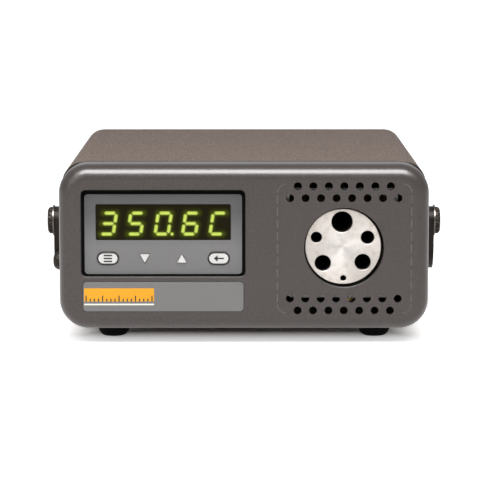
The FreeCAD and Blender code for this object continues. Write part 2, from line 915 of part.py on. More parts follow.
def front_frame():
    """The plate behind the bezel, open for the display housing and for the block and vents."""
    piece = Piece("front_frame")
    plate = piece.sketch("front", FRAME_FRONT)
    tube_outline(plate, d.sheet + d.panel_clearance)
    piece.pad(plate, d.frame_thickness, backward=True)
    housing = piece.sketch("front", FRAME_FRONT)
    spare = 2 * (d.housing_rim + d.housing_clearance)
    width, height = d.opening_width + spare, d.opening_height + spare
    rounded_rectangle(housing, DISPLAY_X, DISPLAY_Z, width, height, d.opening_round)
    piece.pocket(housing)
    vents = piece.sketch("front", FRAME_FRONT)
    edge = d.cover_step + d.sheet + d.panel_clearance + d.frame_bar
    width, height = 2 * d.vent_frame_half, d.case_height - 2 * edge
    rounded_rectangle(vents, HOLE_X, MIDDLE, width, height, d.vent_frame_round)
    piece.pocket(vents)
    screws = piece.sketch("front", FRAME_FRONT)
    for x, z in BOSSES:
        round_hole(screws, x, z, d.bezel_screw_radius + d.screw_clearance)
    piece.pocket(screws)


COVER_SCREWS = [
    (side, y)
    for side in (-1, 1)
    for y in (FRONT + d.cover_screw_front, BACK - d.cover_screw_rear)
]
COVER_SCREW_Z = SPLIT + d.lip_height / 2
PIVOT_Y = FRONT + d.pivot_setback
PIVOT_Z = BOTTOM + d.pivot_rise
PANEL_SCREW_LOW = FLOOR + d.flange_height / 2
PANEL_SCREW_HIGH = TOP - d.cover_step - d.sheet - d.flange_height / 2


def case_half(label, below):
    """A bent sheet half of the case with a flange for the rear panel's screws."""
    piece = Piece(label)
    skin = piece.sketch("front", COVER_FRONT)
    tube_outline(skin, dim(0.0))
    piece.pad(skin, BACK - COVER_FRONT, backward=True)
    hollow = piece.sketch("front", COVER_FRONT)
    tube_outline(hollow, d.sheet)
    piece.pocket(hollow)
    away = piece.sketch("front", COVER_FRONT)
    edge = d.case_height if below else -d.case_height
    rectangle(away, dim(0.0), SPLIT + edge / 2, 2 * d.case_width, d.case_height)
    piece.pocket(away)
    flange = piece.sketch("front", PANEL_INNER)
    root_z = FLOOR if below else TOP - d.cover_step - d.sheet
    flange_z = root_z + (d.flange_height - d.sheet / 2) / 2 * (1 if below else -1)
    rectangle(flange, dim(0.0), flange_z, d.flange_width, d.flange_height + d.sheet / 2)
    piece.pad(flange, d.sheet)
    holes = piece.sketch("front", PANEL_INNER)
    for side in (-1, 1):
        level = PANEL_SCREW_LOW if below else PANEL_SCREW_HIGH
        round_hole(holes, side * d.panel_screw_spread, level, d.panel_screw_radius + d.screw_clearance)
    piece.pocket(holes, d.sheet, backward=True)
    return piece


def side_holes(piece):
    """Holes for the cover's screws, through both sides."""
    holes = piece.sketch("side", dim(0.0))
    for side, y in COVER_SCREWS:
        if side == 1:
            round_hole(holes, y, COVER_SCREW_Z, d.cover_screw_radius + d.screw_clearance)
    piece.pocket(holes, both=True)


def top_cover():
    """The painted cover, an upturned channel with holes for the pivots and its screws."""
    piece = case_half("top_cover", below=False)
    side_holes(piece)
    pivots = piece.sketch("side", dim(0.0))
    round_hole(pivots, PIVOT_Y, PIVOT_Z, d.pivot_radius + d.screw_clearance)
    piece.pocket(pivots, both=True)


FEET = {
    f"foot_{end}_{hand}": (side * d.foot_spread, y)
    for end, y in (("front", FRONT + d.foot_setback), ("rear", BACK - d.foot_setback))
    for hand, side in (("left", -1), ("right", 1))
}


def base_tray():
    """The base, with inner lips that the cover laps over."""
    piece = case_half("base_tray", below=True)
    outer = INNER_SIDE - d.lap_clearance
    inner = outer - d.sheet
    lips = piece.sketch("front", COVER_FRONT + d.lip_setback)
    for side in (-1, 1):
        profile = [
            (inner, SPLIT - d.lip_root),
            (INNER_SIDE, SPLIT - d.lip_root),
            (INNER_SIDE, SPLIT),
            (outer, SPLIT),
            (outer, SPLIT + d.lip_height),
            (inner, SPLIT + d.lip_height),
        ]
        outline(lips, [(side * x, z) for x, z in profile])
    piece.pad(lips, PANEL_INNER - COVER_FRONT - 2 * d.lip_setback, backward=True)
    side_holes(piece)
    holes = piece.sketch("plan", FLOOR)
    for x, y in FEET.values():
        round_hole(holes, x, y, d.foot_screw_radius + d.screw_clearance)
    piece.pocket(holes, d.sheet)


def feet():
    """Rubber feet, each turned about its own screw."""
    top = BOTTOM + d.cover_step
    bore = d.foot_screw_radius + d.screw_clearance
    pocket = d.foot_screw_head + d.foot_pocket_play
    for label, (x, y) in FEET.items():
        piece = Piece(label)
        profile = piece.sketch("front", y, right=x)
        outline(profile, [
            (bore, d.foot_pocket_depth),
            (pocket, d.foot_pocket_depth),
            (pocket, dim(0.0)),
            (d.foot_radius - d.foot_taper, dim(0.0)),
            (d.foot_radius, top / 2),
            (d.foot_radius, top),
            (bore, top),
        ])
        piece.revolve(profile)
        rim = d.foot_radius - d.foot_taper

        def outer_rim(edge):
            return lies_at("Z", dim(0.0))(edge) and edge.BoundBox.XLength > 2 * rim.number - NEAR

        piece.fillet(d.foot_round, outer_rim)


def screw(name, along, seat, away, radius, length, head, thickness):
    """A screw whose head lies on the away side of its seat and whose shank runs the other way."""
    index = "XYZ".index(along)
    shank_base = list(seat)
    head_base = list(seat)
    if away > 0:
        shank_base[index] = seat[index] - length
    else:
        head_base[index] = seat[index] - thickness
    shank = rod(name + "_shank", along, shank_base, radius, length)
    cap = rod(name + "_head", along, head_base, head, thickness)
    return fuse(name, shank, cap)


def small_screws():
    """The screws of the feet, bezel, cover and rear panel."""
    reach = d.foot_screw_reach + FLOOR - d.foot_pocket_depth
    heads = d.head_thickness
    node("foot_screws", group("foot_screws", [
        screw("foot_screw", "Z", (x, y, d.foot_pocket_depth), -1, d.foot_screw_radius, reach,
              d.foot_screw_head, heads)
        for x, y in FEET.values()
    ]))
    node("bezel_screws", group("bezel_screws", [
        screw("bezel_screw", "Y", (x, FRAME_BACK, z), 1, d.bezel_screw_radius, d.bezel_screw_length,
              d.bezel_screw_head, heads)
        for x, z in BOSSES
    ]))
    node("cover_screws", group("cover_screws", [
        screw("cover_screw", "X", (side * SIDE, y, COVER_SCREW_Z), side, d.cover_screw_radius,
              d.cover_screw_length, d.cover_screw_head, d.cover_screw_dome)
        for side, y in COVER_SCREWS
    ]))
    node("rear_panel_screws", group("rear_panel_screws", [
        screw("rear_panel_screw", "Y", (side * d.panel_screw_spread, PANEL_OUTER, z), 1, d.panel_screw_radius,
              d.panel_screw_length, d.panel_screw_head, heads)
        for side in (-1, 1)
        for z in (PANEL_SCREW_LOW, PANEL_SCREW_HIGH)
    ]))


ARM_INNER = SIDE + d.spacer_height + d.handle_play
ARM_OUTER = ARM_INNER + d.strap_thickness
ARM_Z = PIVOT_Z - d.handle_drop
HANDLE_END = BACK + d.handle_gap + d.strap_thickness
HALF_STRAP = d.strap_width / 2
EYE_ROUND = HALF_STRAP - d.eye_flat / 2


def handle_bail():
    """A bail of flat strip: two cranked arms from the pivots and a bar behind the case."""
    piece = Piece("handle_bail")
    side_view = piece.sketch("side", dim(0.0))
    outline(side_view, [
        (PIVOT_Y - HALF_STRAP, PIVOT_Z + HALF_STRAP),
        (PIVOT_Y - HALF_STRAP, ARM_Z - HALF_STRAP),
        (HANDLE_END, ARM_Z - HALF_STRAP),
        (HANDLE_END, ARM_Z + HALF_STRAP),
        (PIVOT_Y + HALF_STRAP, ARM_Z + HALF_STRAP),
        (PIVOT_Y + HALF_STRAP, PIVOT_Z + HALF_STRAP),
    ])
    piece.pad(side_view, 2 * ARM_OUTER, both=True)
    piece.fillet(EYE_ROUND, runs("X", Z=PIVOT_Z + HALF_STRAP))
    piece.fillet(d.knee_round, runs("X", Y=PIVOT_Y - HALF_STRAP, Z=ARM_Z - HALF_STRAP))
    piece.fillet(d.knee_hollow, runs("X", Y=PIVOT_Y + HALF_STRAP, Z=ARM_Z + HALF_STRAP))
    piece.fillet(d.bend_radius + d.strap_thickness, runs("Z", Y=HANDLE_END))
    plan = piece.sketch("plan", PIVOT_Z + d.strap_width)
    inside = HANDLE_END - d.strap_thickness
    near = PIVOT_Y - 2 * d.strap_width - d.bend_radius
    rounded_rectangle(plan, 0, (inside + near) / 2, 2 * ARM_INNER, inside - near, d.bend_radius)
    piece.pocket(plan)
    eyes = piece.sketch("side", dim(0.0))
    round_hole(eyes, PIVOT_Y, PIVOT_Z, d.pivot_radius + d.running_fit)
    piece.pocket(eyes, both=True)


def pivots():
    """Knurled pivot screws with their washers, spacers and threaded inserts."""
    loose = d.pivot_radius + d.screw_clearance
    washer_x = ARM_OUTER + d.handle_play
    head_x = washer_x + d.washer_thickness
    insert_x = INNER_SIDE - d.insert_height
    for hand, side in (("left", -1), ("right", 1)):
        piece = Piece(f"pivot_screw_{hand}")
        face = piece.sketch("side", side * head_x, right=PIVOT_Y, up=PIVOT_Z)
        round_hole(face, 0.0, 0.0, d.pivot_head_radius)
        piece.pad(face, d.pivot_head_height, backward=side < 0)
        piece.fillet(d.pivot_head_round, lies_at("X", side * (head_x + d.pivot_head_height)))
        shank = piece.sketch("side", side * head_x, right=PIVOT_Y, up=PIVOT_Z)
        round_hole(shank, 0.0, 0.0, d.pivot_radius)
        piece.pad(shank, head_x - insert_x, backward=side > 0)
        flute = piece.sketch("side", side * head_x, right=PIVOT_Y, up=PIVOT_Z)
        round_hole(flute, d.pivot_head_radius, 0.0, d.flute_radius)
        first = piece.pocket(flute, d.pivot_head_height, backward=side > 0)
        piece.circle(first, flute, FLUTES)

    def both_sides(name, inner_x, outer, bore, length):
        bases = {"left": -1 * (inner_x + length), "right": inner_x}
        rings = [
            ring(f"{name}_{hand}", "X", (x, PIVOT_Y, PIVOT_Z), outer, bore, length)
            for hand, x in bases.items()
        ]
        node(name, group(name, rings))

    both_sides("pivot_washers", washer_x, d.washer_radius, loose, d.washer_thickness)
    both_sides("pivot_spacers", SIDE, d.spacer_radius, loose, d.spacer_height)
    both_sides("pivot_inserts", insert_x, d.insert_radius, d.pivot_radius + d.running_fit, d.insert_height)


STOP_Z = BOTTOM + d.stop_rise
KNEE_Y = PIVOT_Y - HALF_STRAP + d.knee_round
KNEE_Z = ARM_Z - HALF_STRAP + d.knee_round


def handle_stop():
    """The domed stud on the left side that the bail's knee rests against."""
    reach = d.knee_round + d.stop_radius + d.stop_gap
    drop = KNEE_Z - STOP_Z
    stop_y = KNEE_Y - root(reach * reach - drop * drop)
    piece = Piece("handle_stop")
    end = -1 * (ARM_OUTER + d.handle_play)
    neck = piece.sketch("side", -1 * SIDE, right=stop_y, up=STOP_Z)
    round_hole(neck, 0.0, 0.0, d.stop_neck)
    piece.pad(neck, d.spacer_height, backward=True)
    head = piece.sketch("side", end + d.stop_head, right=stop_y, up=STOP_Z)
    round_hole(head, 0.0, 0.0, d.stop_radius)
    piece.pad(head, d.stop_head, backward=True)
    piece.fillet(d.stop_round, lies_at("X", end))


PANEL_FRONT = FRONT + d.panel_recess
PANEL_BACK = FRONT + d.face_thickness
WINDOW_WIDTH = d.opening_width - 2 * d.window_side
WINDOW_HEIGHT = d.opening_height - d.window_top - d.key_band
WINDOW_Z = DISPLAY_Z + d.opening_height / 2 - d.window_top - WINDOW_HEIGHT / 2
KEY_NAMES = ("key_set", "key_down", "key_up", "key_exit")
KEY_PITCH = (d.opening_width - 2 * d.key_side) / (len(KEY_NAMES) - 1)
KEY_Z = DISPLAY_Z - d.opening_height / 2 + d.key_rise
KEYS = {
    name: DISPLAY_X - d.opening_width / 2 + d.key_side + i * KEY_PITCH
    for i, name in enumerate(KEY_NAMES)
}
KEY_BOARD_FRONT = PANEL_BACK + d.key_board_setback
CAVITY_WIDTH = d.opening_width + 2 * d.housing_rim - 2 * d.housing_wall
CAVITY_HEIGHT = d.opening_height + 2 * d.housing_rim - 2 * d.housing_wall


def key_shape(sketch, name, gap):
    """A key's outline, grown by a gap all round."""
    x = KEYS[name]
    if name in ("key_set", "key_exit"):
        pill(sketch, x, KEY_Z, d.pill_width + 2 * gap, d.pill_height + 2 * gap)
        return
    up = name == "key_up"
    wider, taller = arrow_margin(dim(gap))
    middle = (taller / 2 - gap) * (1 if up else -1)
    arrow(sketch, x, KEY_Z + middle, d.arrow_width + wider, d.arrow_height + taller, up)


def display_panel():
    """The grey panel with the window's opening and the key holes."""
    piece = Piece("display_panel")
    plate = piece.sketch("front", PANEL_FRONT)
    rounded_rectangle(plate, DISPLAY_X, DISPLAY_Z - d.panel_drop, PANEL_WIDTH, PANEL_HEIGHT, d.panel_round)
    piece.pad(plate, d.face_thickness - d.panel_recess, backward=True)
    holes = piece.sketch("front", PANEL_FRONT)
    width, height = WINDOW_WIDTH + 2 * d.window_fit, WINDOW_HEIGHT + 2 * d.window_fit
    rounded_rectangle(holes, DISPLAY_X, WINDOW_Z, width, height, d.window_round)
    for name in KEYS:
        gap = d.pill_gap if name in ("key_set", "key_exit") else d.arrow_gap
        key_shape(holes, name, gap)
    piece.pocket(holes)


def display_window():
    """The dark tinted window in front of the digits."""
    piece = Piece("display_window")
    pane = piece.sketch("front", PANEL_FRONT + d.window_recess)
    rounded_rectangle(pane, DISPLAY_X, WINDOW_Z, WINDOW_WIDTH, WINDOW_HEIGHT, d.window_round)
    piece.pad(pane, d.face_thickness - d.panel_recess - d.window_recess, backward=True)


def display_housing():
    """The open box behind the panel that carries the key board."""
    piece = Piece("display_housing")
    shell = piece.sketch("front", PANEL_BACK)
    width, height = d.opening_width + 2 * d.housing_rim, d.opening_height + 2 * d.housing_rim
    rounded_rectangle(shell, DISPLAY_X, DISPLAY_Z, width, height, d.opening_round)
    piece.pad(shell, d.housing_depth, backward=True)
    cavity = piece.sketch("front", PANEL_BACK)
    rectangle(cavity, DISPLAY_X, DISPLAY_Z, CAVITY_WIDTH, CAVITY_HEIGHT)
    piece.pocket(cavity, d.housing_depth - d.housing_back)
    slot = piece.sketch("front", PANEL_BACK)
    rectangle(slot, DISPLAY_X, DISPLAY_Z, CAVITY_WIDTH / 2, CAVITY_HEIGHT / 2)
    piece.pocket(slot)


def display_boards():
    """The digits, the board behind them and the switches under the keys."""
    width, height = CAVITY_WIDTH - 2 * d.board_fit, CAVITY_HEIGHT - 2 * d.board_fit
    low = (DISPLAY_X - width / 2, KEY_BOARD_FRONT, DISPLAY_Z - height / 2)
    node("key_board", box("key_board", low, (width, d.board_thickness, height)))
    digit_front = PANEL_BACK + d.digit_gap
    pitch = (WINDOW_WIDTH - 2 * d.digit_edge) / DIGITS
    size = (pitch - d.digit_spacing, KEY_BOARD_FRONT - digit_front, WINDOW_HEIGHT - 2 * d.digit_margin)
    digits = []
    for i in range(DIGITS):
        x = DISPLAY_X + (i - (DIGITS - 1) / 2) * pitch - size[0] / 2
        digits.append(box(f"digit_{i + 1}", (x, digit_front, WINDOW_Z - size[2] / 2), size))
    node("led_digits", group("led_digits", digits))
    switches = []
    for name, x in KEYS.items():
        top = KEY_BOARD_FRONT - d.switch_height
        corner = (x - d.switch_side / 2, top, KEY_Z - d.switch_side / 2)
        base = box(f"{name}_switch_base", corner, (d.switch_side, d.switch_height, d.switch_side))
        start = (x, top - d.plunger_height, KEY_Z)
        plunger = rod(f"{name}_plunger", "Y", start, d.plunger_radius, d.plunger_height + d.switch_height / 2)
        switches.append(fuse(f"{name}_switch", base, plunger))
    node("key_switches", group("key_switches", switches))


def keys():
    """Two pill keys and two arrow keys, each with a flange behind the panel and a stem."""
    for name, x in KEYS.items():
        piece = Piece(name)
        tip = PANEL_FRONT - d.key_proud
        cap = piece.sketch("front", tip)
        key_shape(cap, name, dim(0.0))
        flange_front = PANEL_BACK + d.key_seat_gap
        piece.pad(cap, flange_front - tip, backward=True)
        flange = piece.sketch("front", flange_front)
        is_pill = name in ("key_set", "key_exit")
        key_width, key_height = (d.pill_width, d.pill_height) if is_pill else (d.arrow_width, d.arrow_height)
        margin = 2 * (d.key_flange_margin + (d.pill_gap if is_pill else 2 * d.arrow_gap))
        rectangle(flange, x, KEY_Z, key_width + margin, key_height + margin)
        piece.pad(flange, d.key_flange, backward=True)
        stem_front = flange_front + d.key_flange
        plunger_tip = KEY_BOARD_FRONT - d.switch_height - d.plunger_height
        stem = piece.sketch("front", stem_front)
        round_hole(stem, x, KEY_Z, d.key_stem_radius)
        piece.pad(stem, plunger_tip - d.key_stem_gap - stem_front, backward=True)


def label_plate():
    """The blank plate under the display."""
    piece = Piece("label_plate")
    plate = piece.sketch("front", FRONT + d.label_recess)
    spare = 2 * d.label_fit
    width, height = d.label_width - spare, d.label_height - spare
    rounded_rectangle(plate, DISPLAY_X, LABEL_Z, width, height, d.label_round - d.label_fit)
    piece.pad(plate, d.label_thickness)


def well_block():
    """The bored block, and the plate that closes its wells and takes the sensor."""
    piece = Piece("well_block")
    bar = piece.sketch("front", BLOCK_FRONT)
    round_hole(bar, BLOCK_X, BLOCK_Z, d.block_radius)
    piece.pad(bar, d.block_length, backward=True)
    wells = piece.sketch("front", BLOCK_FRONT)
    for name in WELLS:
        x = BLOCK_X + getattr(d, f"well_{name}_right")
        z = BLOCK_Z + getattr(d, f"well_{name}_up")
        round_hole(wells, x, z, getattr(d, f"well_{name}_radius"))
    piece.pocket(wells)
    sensor_z = BLOCK_Z - d.sensor_drop
    sensor_bore = d.sensor_radius + d.running_fit
    sensor = piece.sketch("front", BORED_END)
    round_hole(sensor, BLOCK_X, sensor_z, sensor_bore)
    piece.pocket(sensor, d.sensor_depth - d.block_end, backward=True)

    def is_rim(edge):
        return lies_at("Y", BLOCK_FRONT)(edge) and edge.BoundBox.XLength > 2 * d.block_radius.number - NEAR

    def is_mouth(edge):
        return lies_at("Y", BLOCK_FRONT)(edge) and edge.BoundBox.XLength < d.block_radius.number

    piece.chamfer(d.mouth_chamfer, is_mouth)
    piece.chamfer(d.rim_chamfer, is_rim)
    closing = Piece("block_end")
    disc = closing.sketch("front", BORED_END)
    round_hole(disc, BLOCK_X, BLOCK_Z, d.block_radius)
    round_hole(disc, BLOCK_X, sensor_z, sensor_bore)
    closing.pad(disc, d.block_end, backward=True)


def heater_pieces():
    """What heats, senses, holds and wraps the block."""
    fit = d.block_radius + d.running_fit
    start = BLOCK_FRONT + d.band_front
    length = BLOCK_BACK - d.band_rear - start
    band = ring("band_ring", "Y", (BLOCK_X, start, BLOCK_Z), fit + d.band_thickness, fit, length)
    slot_low = (BLOCK_X - d.band_slot / 2, start, BLOCK_Z - fit - d.band_thickness)
    slot = box("band_gap", slot_low, (d.band_slot, length, d.block_radius))
    node("heater_band", cut("heater_band", band, slot))
    sensor_low = (BLOCK_X, BLOCK_BACK - d.sensor_depth + d.sensor_end_gap, BLOCK_Z - d.sensor_drop)
    sensor = rod("control_sensor", "Y", sensor_low, d.sensor_radius, d.sensor_depth + d.sensor_tail)
    node("control_sensor", sensor)
    cutout_low = (BLOCK_X, BLOCK_BACK, BLOCK_Z + d.cutout_rise)
    node("thermal_cutout", rod("thermal_cutout", "Y", cutout_low, d.cutout_radius, d.cutout_height))
    inside = d.shield_side - 2 * d.shield_thickness - 2 * d.running_fit
    front_plate = BLOCK_FRONT + d.support_front
    rear_plate = BLOCK_BACK - d.support_rear
    plates = []
    for end, y in (("front", front_plate), ("rear", rear_plate)):
        drawn = upright_sketch(f"support_{end}_outline", y)
        rounded_rectangle(drawn, BLOCK_X, BLOCK_Z, inside, inside, d.shield_round - d.shield_thickness)
        round_hole(drawn, BLOCK_X, BLOCK_Z, fit)
        plates.append(flat_plate(f"support_{end}", drawn, d.support_thickness))
    node("block_supports", group("block_supports", plates))
    sleeve_start = front_plate + d.support_thickness
    base = (BLOCK_X, sleeve_start, BLOCK_Z)
    outer = d.shield_side / 2 - d.shield_thickness - d.sleeve_fit
    inner = fit + d.band_thickness + d.sleeve_fit
    sleeve = ring("insulation_sleeve", "Y", base, outer, inner, rear_plate - sleeve_start)
    node("insulation_sleeve", sleeve)


def heat_shield():
    """The bright square tube round the block, and the posts under it."""
    piece = Piece("heat_shield")
    start = FRONT + d.shield_start
    tube = piece.sketch("front", start)
    rounded_rectangle(tube, BLOCK_X, BLOCK_Z, d.shield_side, d.shield_side, d.shield_round)
    piece.pad(tube, BLOCK_BACK + d.shield_overhang - start, backward=True)
    hollow = piece.sketch("front", start)
    inside = d.shield_side - 2 * d.shield_thickness
    rounded_rectangle(hollow, BLOCK_X, BLOCK_Z, inside, inside, d.shield_round - d.shield_thickness)
    piece.pocket(hollow)
    under = BLOCK_Z - d.shield_side / 2
    spots = {
        "front": (BLOCK_X + d.post_offset, FRAME_BACK + d.post_setback),
        "rear_left": (BLOCK_X - d.post_spread, start + d.post_rear),
        "rear_right": (BLOCK_X + d.post_spread, start + d.post_rear),
    }
    posts = [
        rod(f"post_{name}", "Z", (x, y, FLOOR), d.post_radius, under - FLOOR)
        for name, (x, y) in spots.items()
    ]
    node("shield_posts", group("shield_posts", posts))


BOARD_Z = FLOOR + d.standoff_height
BOARD_TOP = BOARD_Z + d.board_thickness
BOARD_X = d.board_inset - d.case_width / 2
BOARD_Y = FRONT + d.board_front
BOARD_RIGHT = BLOCK_X - d.shield_side / 2 - d.board_shield_gap
BOARD_WIDTH = BOARD_RIGHT - BOARD_X
BOARD_REAR = BOARD_Y + d.board_length
BOARD_CORNERS = [
    (x, y)
    for x in (BOARD_X + d.standoff_inset, BOARD_RIGHT - d.standoff_inset)
    for y in (BOARD_Y + d.standoff_inset, BOARD_REAR - d.standoff_inset)
]


def control_board():
    """The main board on its stand-offs."""
    low = (BOARD_X, BOARD_Y, BOARD_Z)
    plate = box("board_plate", low, (BOARD_WIDTH, d.board_length, d.board_thickness))
    bore = d.board_screw_radius + d.screw_clearance
    holes = [
        rod("board_hole", "Z", (x, y, BOARD_Z), bore, d.board_thickness)
        for x, y in BOARD_CORNERS
    ]
    node("control_board", cut("control_board", plate, *holes))
    pillars = []
    for x, y in BOARD_CORNERS:
        pillars.append(ring("standoff", "Z", (x, y, FLOOR), d.standoff_radius, bore, d.standoff_height))
    node("board_standoffs", group("board_standoffs", pillars))
    node("board_screws", group("board_screws", [
        screw("board_screw", "Z", (x, y, BOARD_TOP), 1, d.board_screw_radius, d.board_screw_length,
              d.board_screw_head, d.head_thickness)
        for x, y in BOARD_CORNERS
    ]))


def board_pieces():
    """The larger pieces that stand on the main board."""
    x, y = BOARD_X + d.transformer_x, BOARD_REAR - d.transformer_rear
    core_low = (x - d.core_width / 2, y - d.core_length / 2, BOARD_TOP)
    core = box("transformer_core", core_low, (d.core_width, d.core_length, d.core_height))
    coil_width = d.core_width + 2 * d.coil_bulge
    coil_length = d.core_length - 2 * d.coil_inset
    coil_height = d.core_height - 2 * d.coil_margin
    coil_low = (x - coil_width / 2, y - coil_length / 2, BOARD_TOP + d.coil_margin)
    coil = box("transformer_coil", coil_low, (coil_width, coil_length, coil_height))
    node("transformer", fuse("transformer", core, coil))
    sink_x = BOARD_RIGHT - d.sink_inset - d.fin_length - d.sink_base
    sink_y = BOARD_Y + d.sink_front
    base = box("sink_base", (sink_x, sink_y, BOARD_TOP), (d.sink_base, d.sink_length, d.sink_height))
    fins = [
        box(f"sink_fin_{i + 1}", (sink_x + d.sink_base, sink_y + i * d.fin_pitch, BOARD_TOP),
            (d.fin_length, d.fin_thickness, d.sink_height))
        for i in range(FINS)
    ]
    node("heat_sink", fuse("heat_sink", base, *fins))
    triac_low = (sink_x - d.triac_thickness, sink_y + (d.sink_length - d.triac_width) / 2, BOARD_TOP)
    node("power_triac", box("power_triac", triac_low, (d.triac_thickness, d.triac_width, d.triac_height)))
    can = (BOARD_X + d.capacitor_x, BOARD_Y + d.capacitor_y, BOARD_TOP)
    node("filter_capacitor", rod("filter_capacitor", "Z", can, d.capacitor_radius, d.capacitor_height))
    clear_of_screw = BOARD_RIGHT - d.standoff_inset - d.board_screw_head - d.terminal_gap
    terminal_y = BOARD_REAR - d.terminal_rear - d.terminal_depth
    low = (clear_of_screw - d.terminal_width, terminal_y, BOARD_TOP)
    strip = box("terminal_strip", low, (d.terminal_width, d.terminal_depth, d.terminal_height))
    wells = []
    for i in (-1, 0, 1):
        centre = low[0] + d.terminal_width / 2 + i * d.terminal_pitch
        spot_low = (centre, low[1] + d.terminal_depth / 2, BOARD_TOP + d.terminal_height / 2)
        wells.append(rod("terminal_well", "Z", spot_low, d.terminal_pitch / 3, d.terminal_height))
    node("terminal_block", cut("terminal_block", strip, *wells))


FAN_BACK = PANEL_INNER
FAN_FRONT = FAN_BACK - d.fan_depth
FAN_SIDE = d.case_height - 2 * (d.cover_step + d.sheet + d.flange_height + d.fan_gap)
FAN_DUCT = FAN_SIDE / 2 - d.fan_wall
FAN_HOLE = FAN_SIDE / 2 - d.fan_hole_inset
FAN_HOLES = [
    (BLOCK_X + sx * FAN_HOLE, BLOCK_Z + sz * FAN_HOLE)
    for sx in (-1, 1)
    for sz in (-1, 1)
]


def fan_frame():
    """The fan's square frame with its duct, spider and axle."""
    piece = Piece("fan_frame")
    square = piece.sketch("front", FAN_FRONT)
    rounded_rectangle(square, BLOCK_X, BLOCK_Z, FAN_SIDE, FAN_SIDE, d.fan_round)
    piece.pad(square, d.fan_depth, backward=True)
    duct = piece.sketch("front", FAN_FRONT)
    round_hole(duct, BLOCK_X, BLOCK_Z, FAN_DUCT)
    for x, z in FAN_HOLES:
        round_hole(duct, x, z, d.fan_screw_radius + d.screw_clearance)
    piece.pocket(duct)
    strut = piece.sketch("front", FAN_FRONT, right=BLOCK_X, up=BLOCK_Z)
    reach = FAN_DUCT + d.strut_root
    rectangle(strut, reach / 2, dim(0.0), reach, d.fan_strut)
    arm = piece.pad(strut, d.fan_plate, backward=True)
    piece.circle(arm, strut, 4)
    plate = piece.sketch("front", FAN_FRONT)
    round_hole(plate, BLOCK_X, BLOCK_Z, d.fan_hub)
    piece.pad(plate, d.fan_plate, backward=True)
    axle = piece.sketch("front", FAN_FRONT)
    round_hole(axle, BLOCK_X, BLOCK_Z, d.fan_axle)
    piece.pad(axle, d.fan_plate + d.axle_depth, backward=True)


def fan_rotor():
    """The fan's hub and slanted blades."""
    hub_front = FAN_FRONT + d.fan_plate + d.rotor_gap
    piece = Piece("fan_rotor")
    hub = piece.sketch("front", hub_front, right=BLOCK_X, up=BLOCK_Z)
    round_hole(hub, 0.0, 0.0, d.fan_hub)
    piece.pad(hub, d.rotor_depth, backward=True)
    middle_y = hub_front + d.rotor_depth / 2
    blade = piece.sketch("plan", BLOCK_Z + d.fan_hub - d.blade_root, right=BLOCK_X, up=middle_y)
    half_depth = d.blade_depth / 2
    outline(blade, [
        (-d.blade_sweep, -half_depth),
        (d.blade_thickness - d.blade_sweep, -half_depth),
        (d.blade_sweep, half_depth),
        (d.blade_sweep - d.blade_thickness, half_depth),
    ])
    first = piece.pad(blade, FAN_DUCT - d.blade_gap - d.fan_hub + d.blade_root)
    piece.circle(first, hub, FAN_BLADES)
    bore = piece.sketch("front", hub_front)
    round_hole(bore, BLOCK_X, BLOCK_Z, d.fan_axle + d.running_fit)
    piece.pocket(bore, d.axle_depth)


def fan_screws():
    """Screws through the rear panel into the fan."""
    length = d.rear_thickness + d.fan_depth
    node("fan_screws", group("fan_screws", [
        screw("fan_screw", "Y", (x, PANEL_OUTER, z), 1, d.fan_screw_radius, length, d.fan_screw_head,
              d.head_thickness)
        for x, z in FAN_HOLES
    ]))


ROW_Z = PANEL_SCREW_HIGH - d.panel_screw_head - d.row_gap - d.inlet_flange_height / 2
INLET_X = d.inlet_inset - d.case_width / 2
JACK_X = BLOCK_X - FAN_SIDE / 2 - d.jack_gap - d.jack_body / 2
SWITCH_X = (INLET_X + d.inlet_flange_width / 2 + JACK_X - d.jack_nut_radius) / 2
SOCKET_X = INLET_X + d.socket_offset
DRAWER_X = INLET_X + d.drawer_offset


def rear_panel():
    """The rear plate with the fan's grille and the cut-outs for inlet, switch and jack."""
    piece = Piece("rear_panel")
    plate = piece.sketch("front", PANEL_INNER)
    tube_outline(plate, d.sheet + d.panel_clearance)
    piece.pad(plate, d.rear_thickness, backward=True)
    holes = piece.sketch("front", PANEL_INNER)
    spare = 2 * d.cutout_fit
    width, height = d.inlet_body_width + spare, d.inlet_body_height + spare
    rectangle(holes, INLET_X, ROW_Z, width, height)
    rectangle(holes, SWITCH_X, ROW_Z, d.switch_body_width + spare, d.switch_body_height + spare)
    round_hole(holes, JACK_X, ROW_Z, d.jack_radius + d.screw_clearance)
    for x, z in FAN_HOLES:
        round_hole(holes, x, z, d.fan_screw_radius + d.screw_clearance)
    for side in (-1, 1):
        for z in (PANEL_SCREW_LOW, PANEL_SCREW_HIGH):
            round_hole(holes, side * d.panel_screw_spread, z, d.panel_screw_radius + d.screw_clearance)
    piece.pocket(holes)
    pitch = (FAN_DUCT - d.grille_radius - d.grille_margin) / GRILLE_RINGS
    for step in range(1, GRILLE_RINGS + 1):
        hole = piece.sketch("front", PANEL_INNER, right=BLOCK_X, up=BLOCK_Z)
        round_hole(hole, step * pitch, 0.0, d.grille_radius)
        piece.circle(piece.pocket(hole), hole, step * HOLES_PER_RING)
    centre = piece.sketch("front", PANEL_INNER)
    round_hole(centre, BLOCK_X, BLOCK_Z, d.grille_radius)
    piece.pocket(centre)


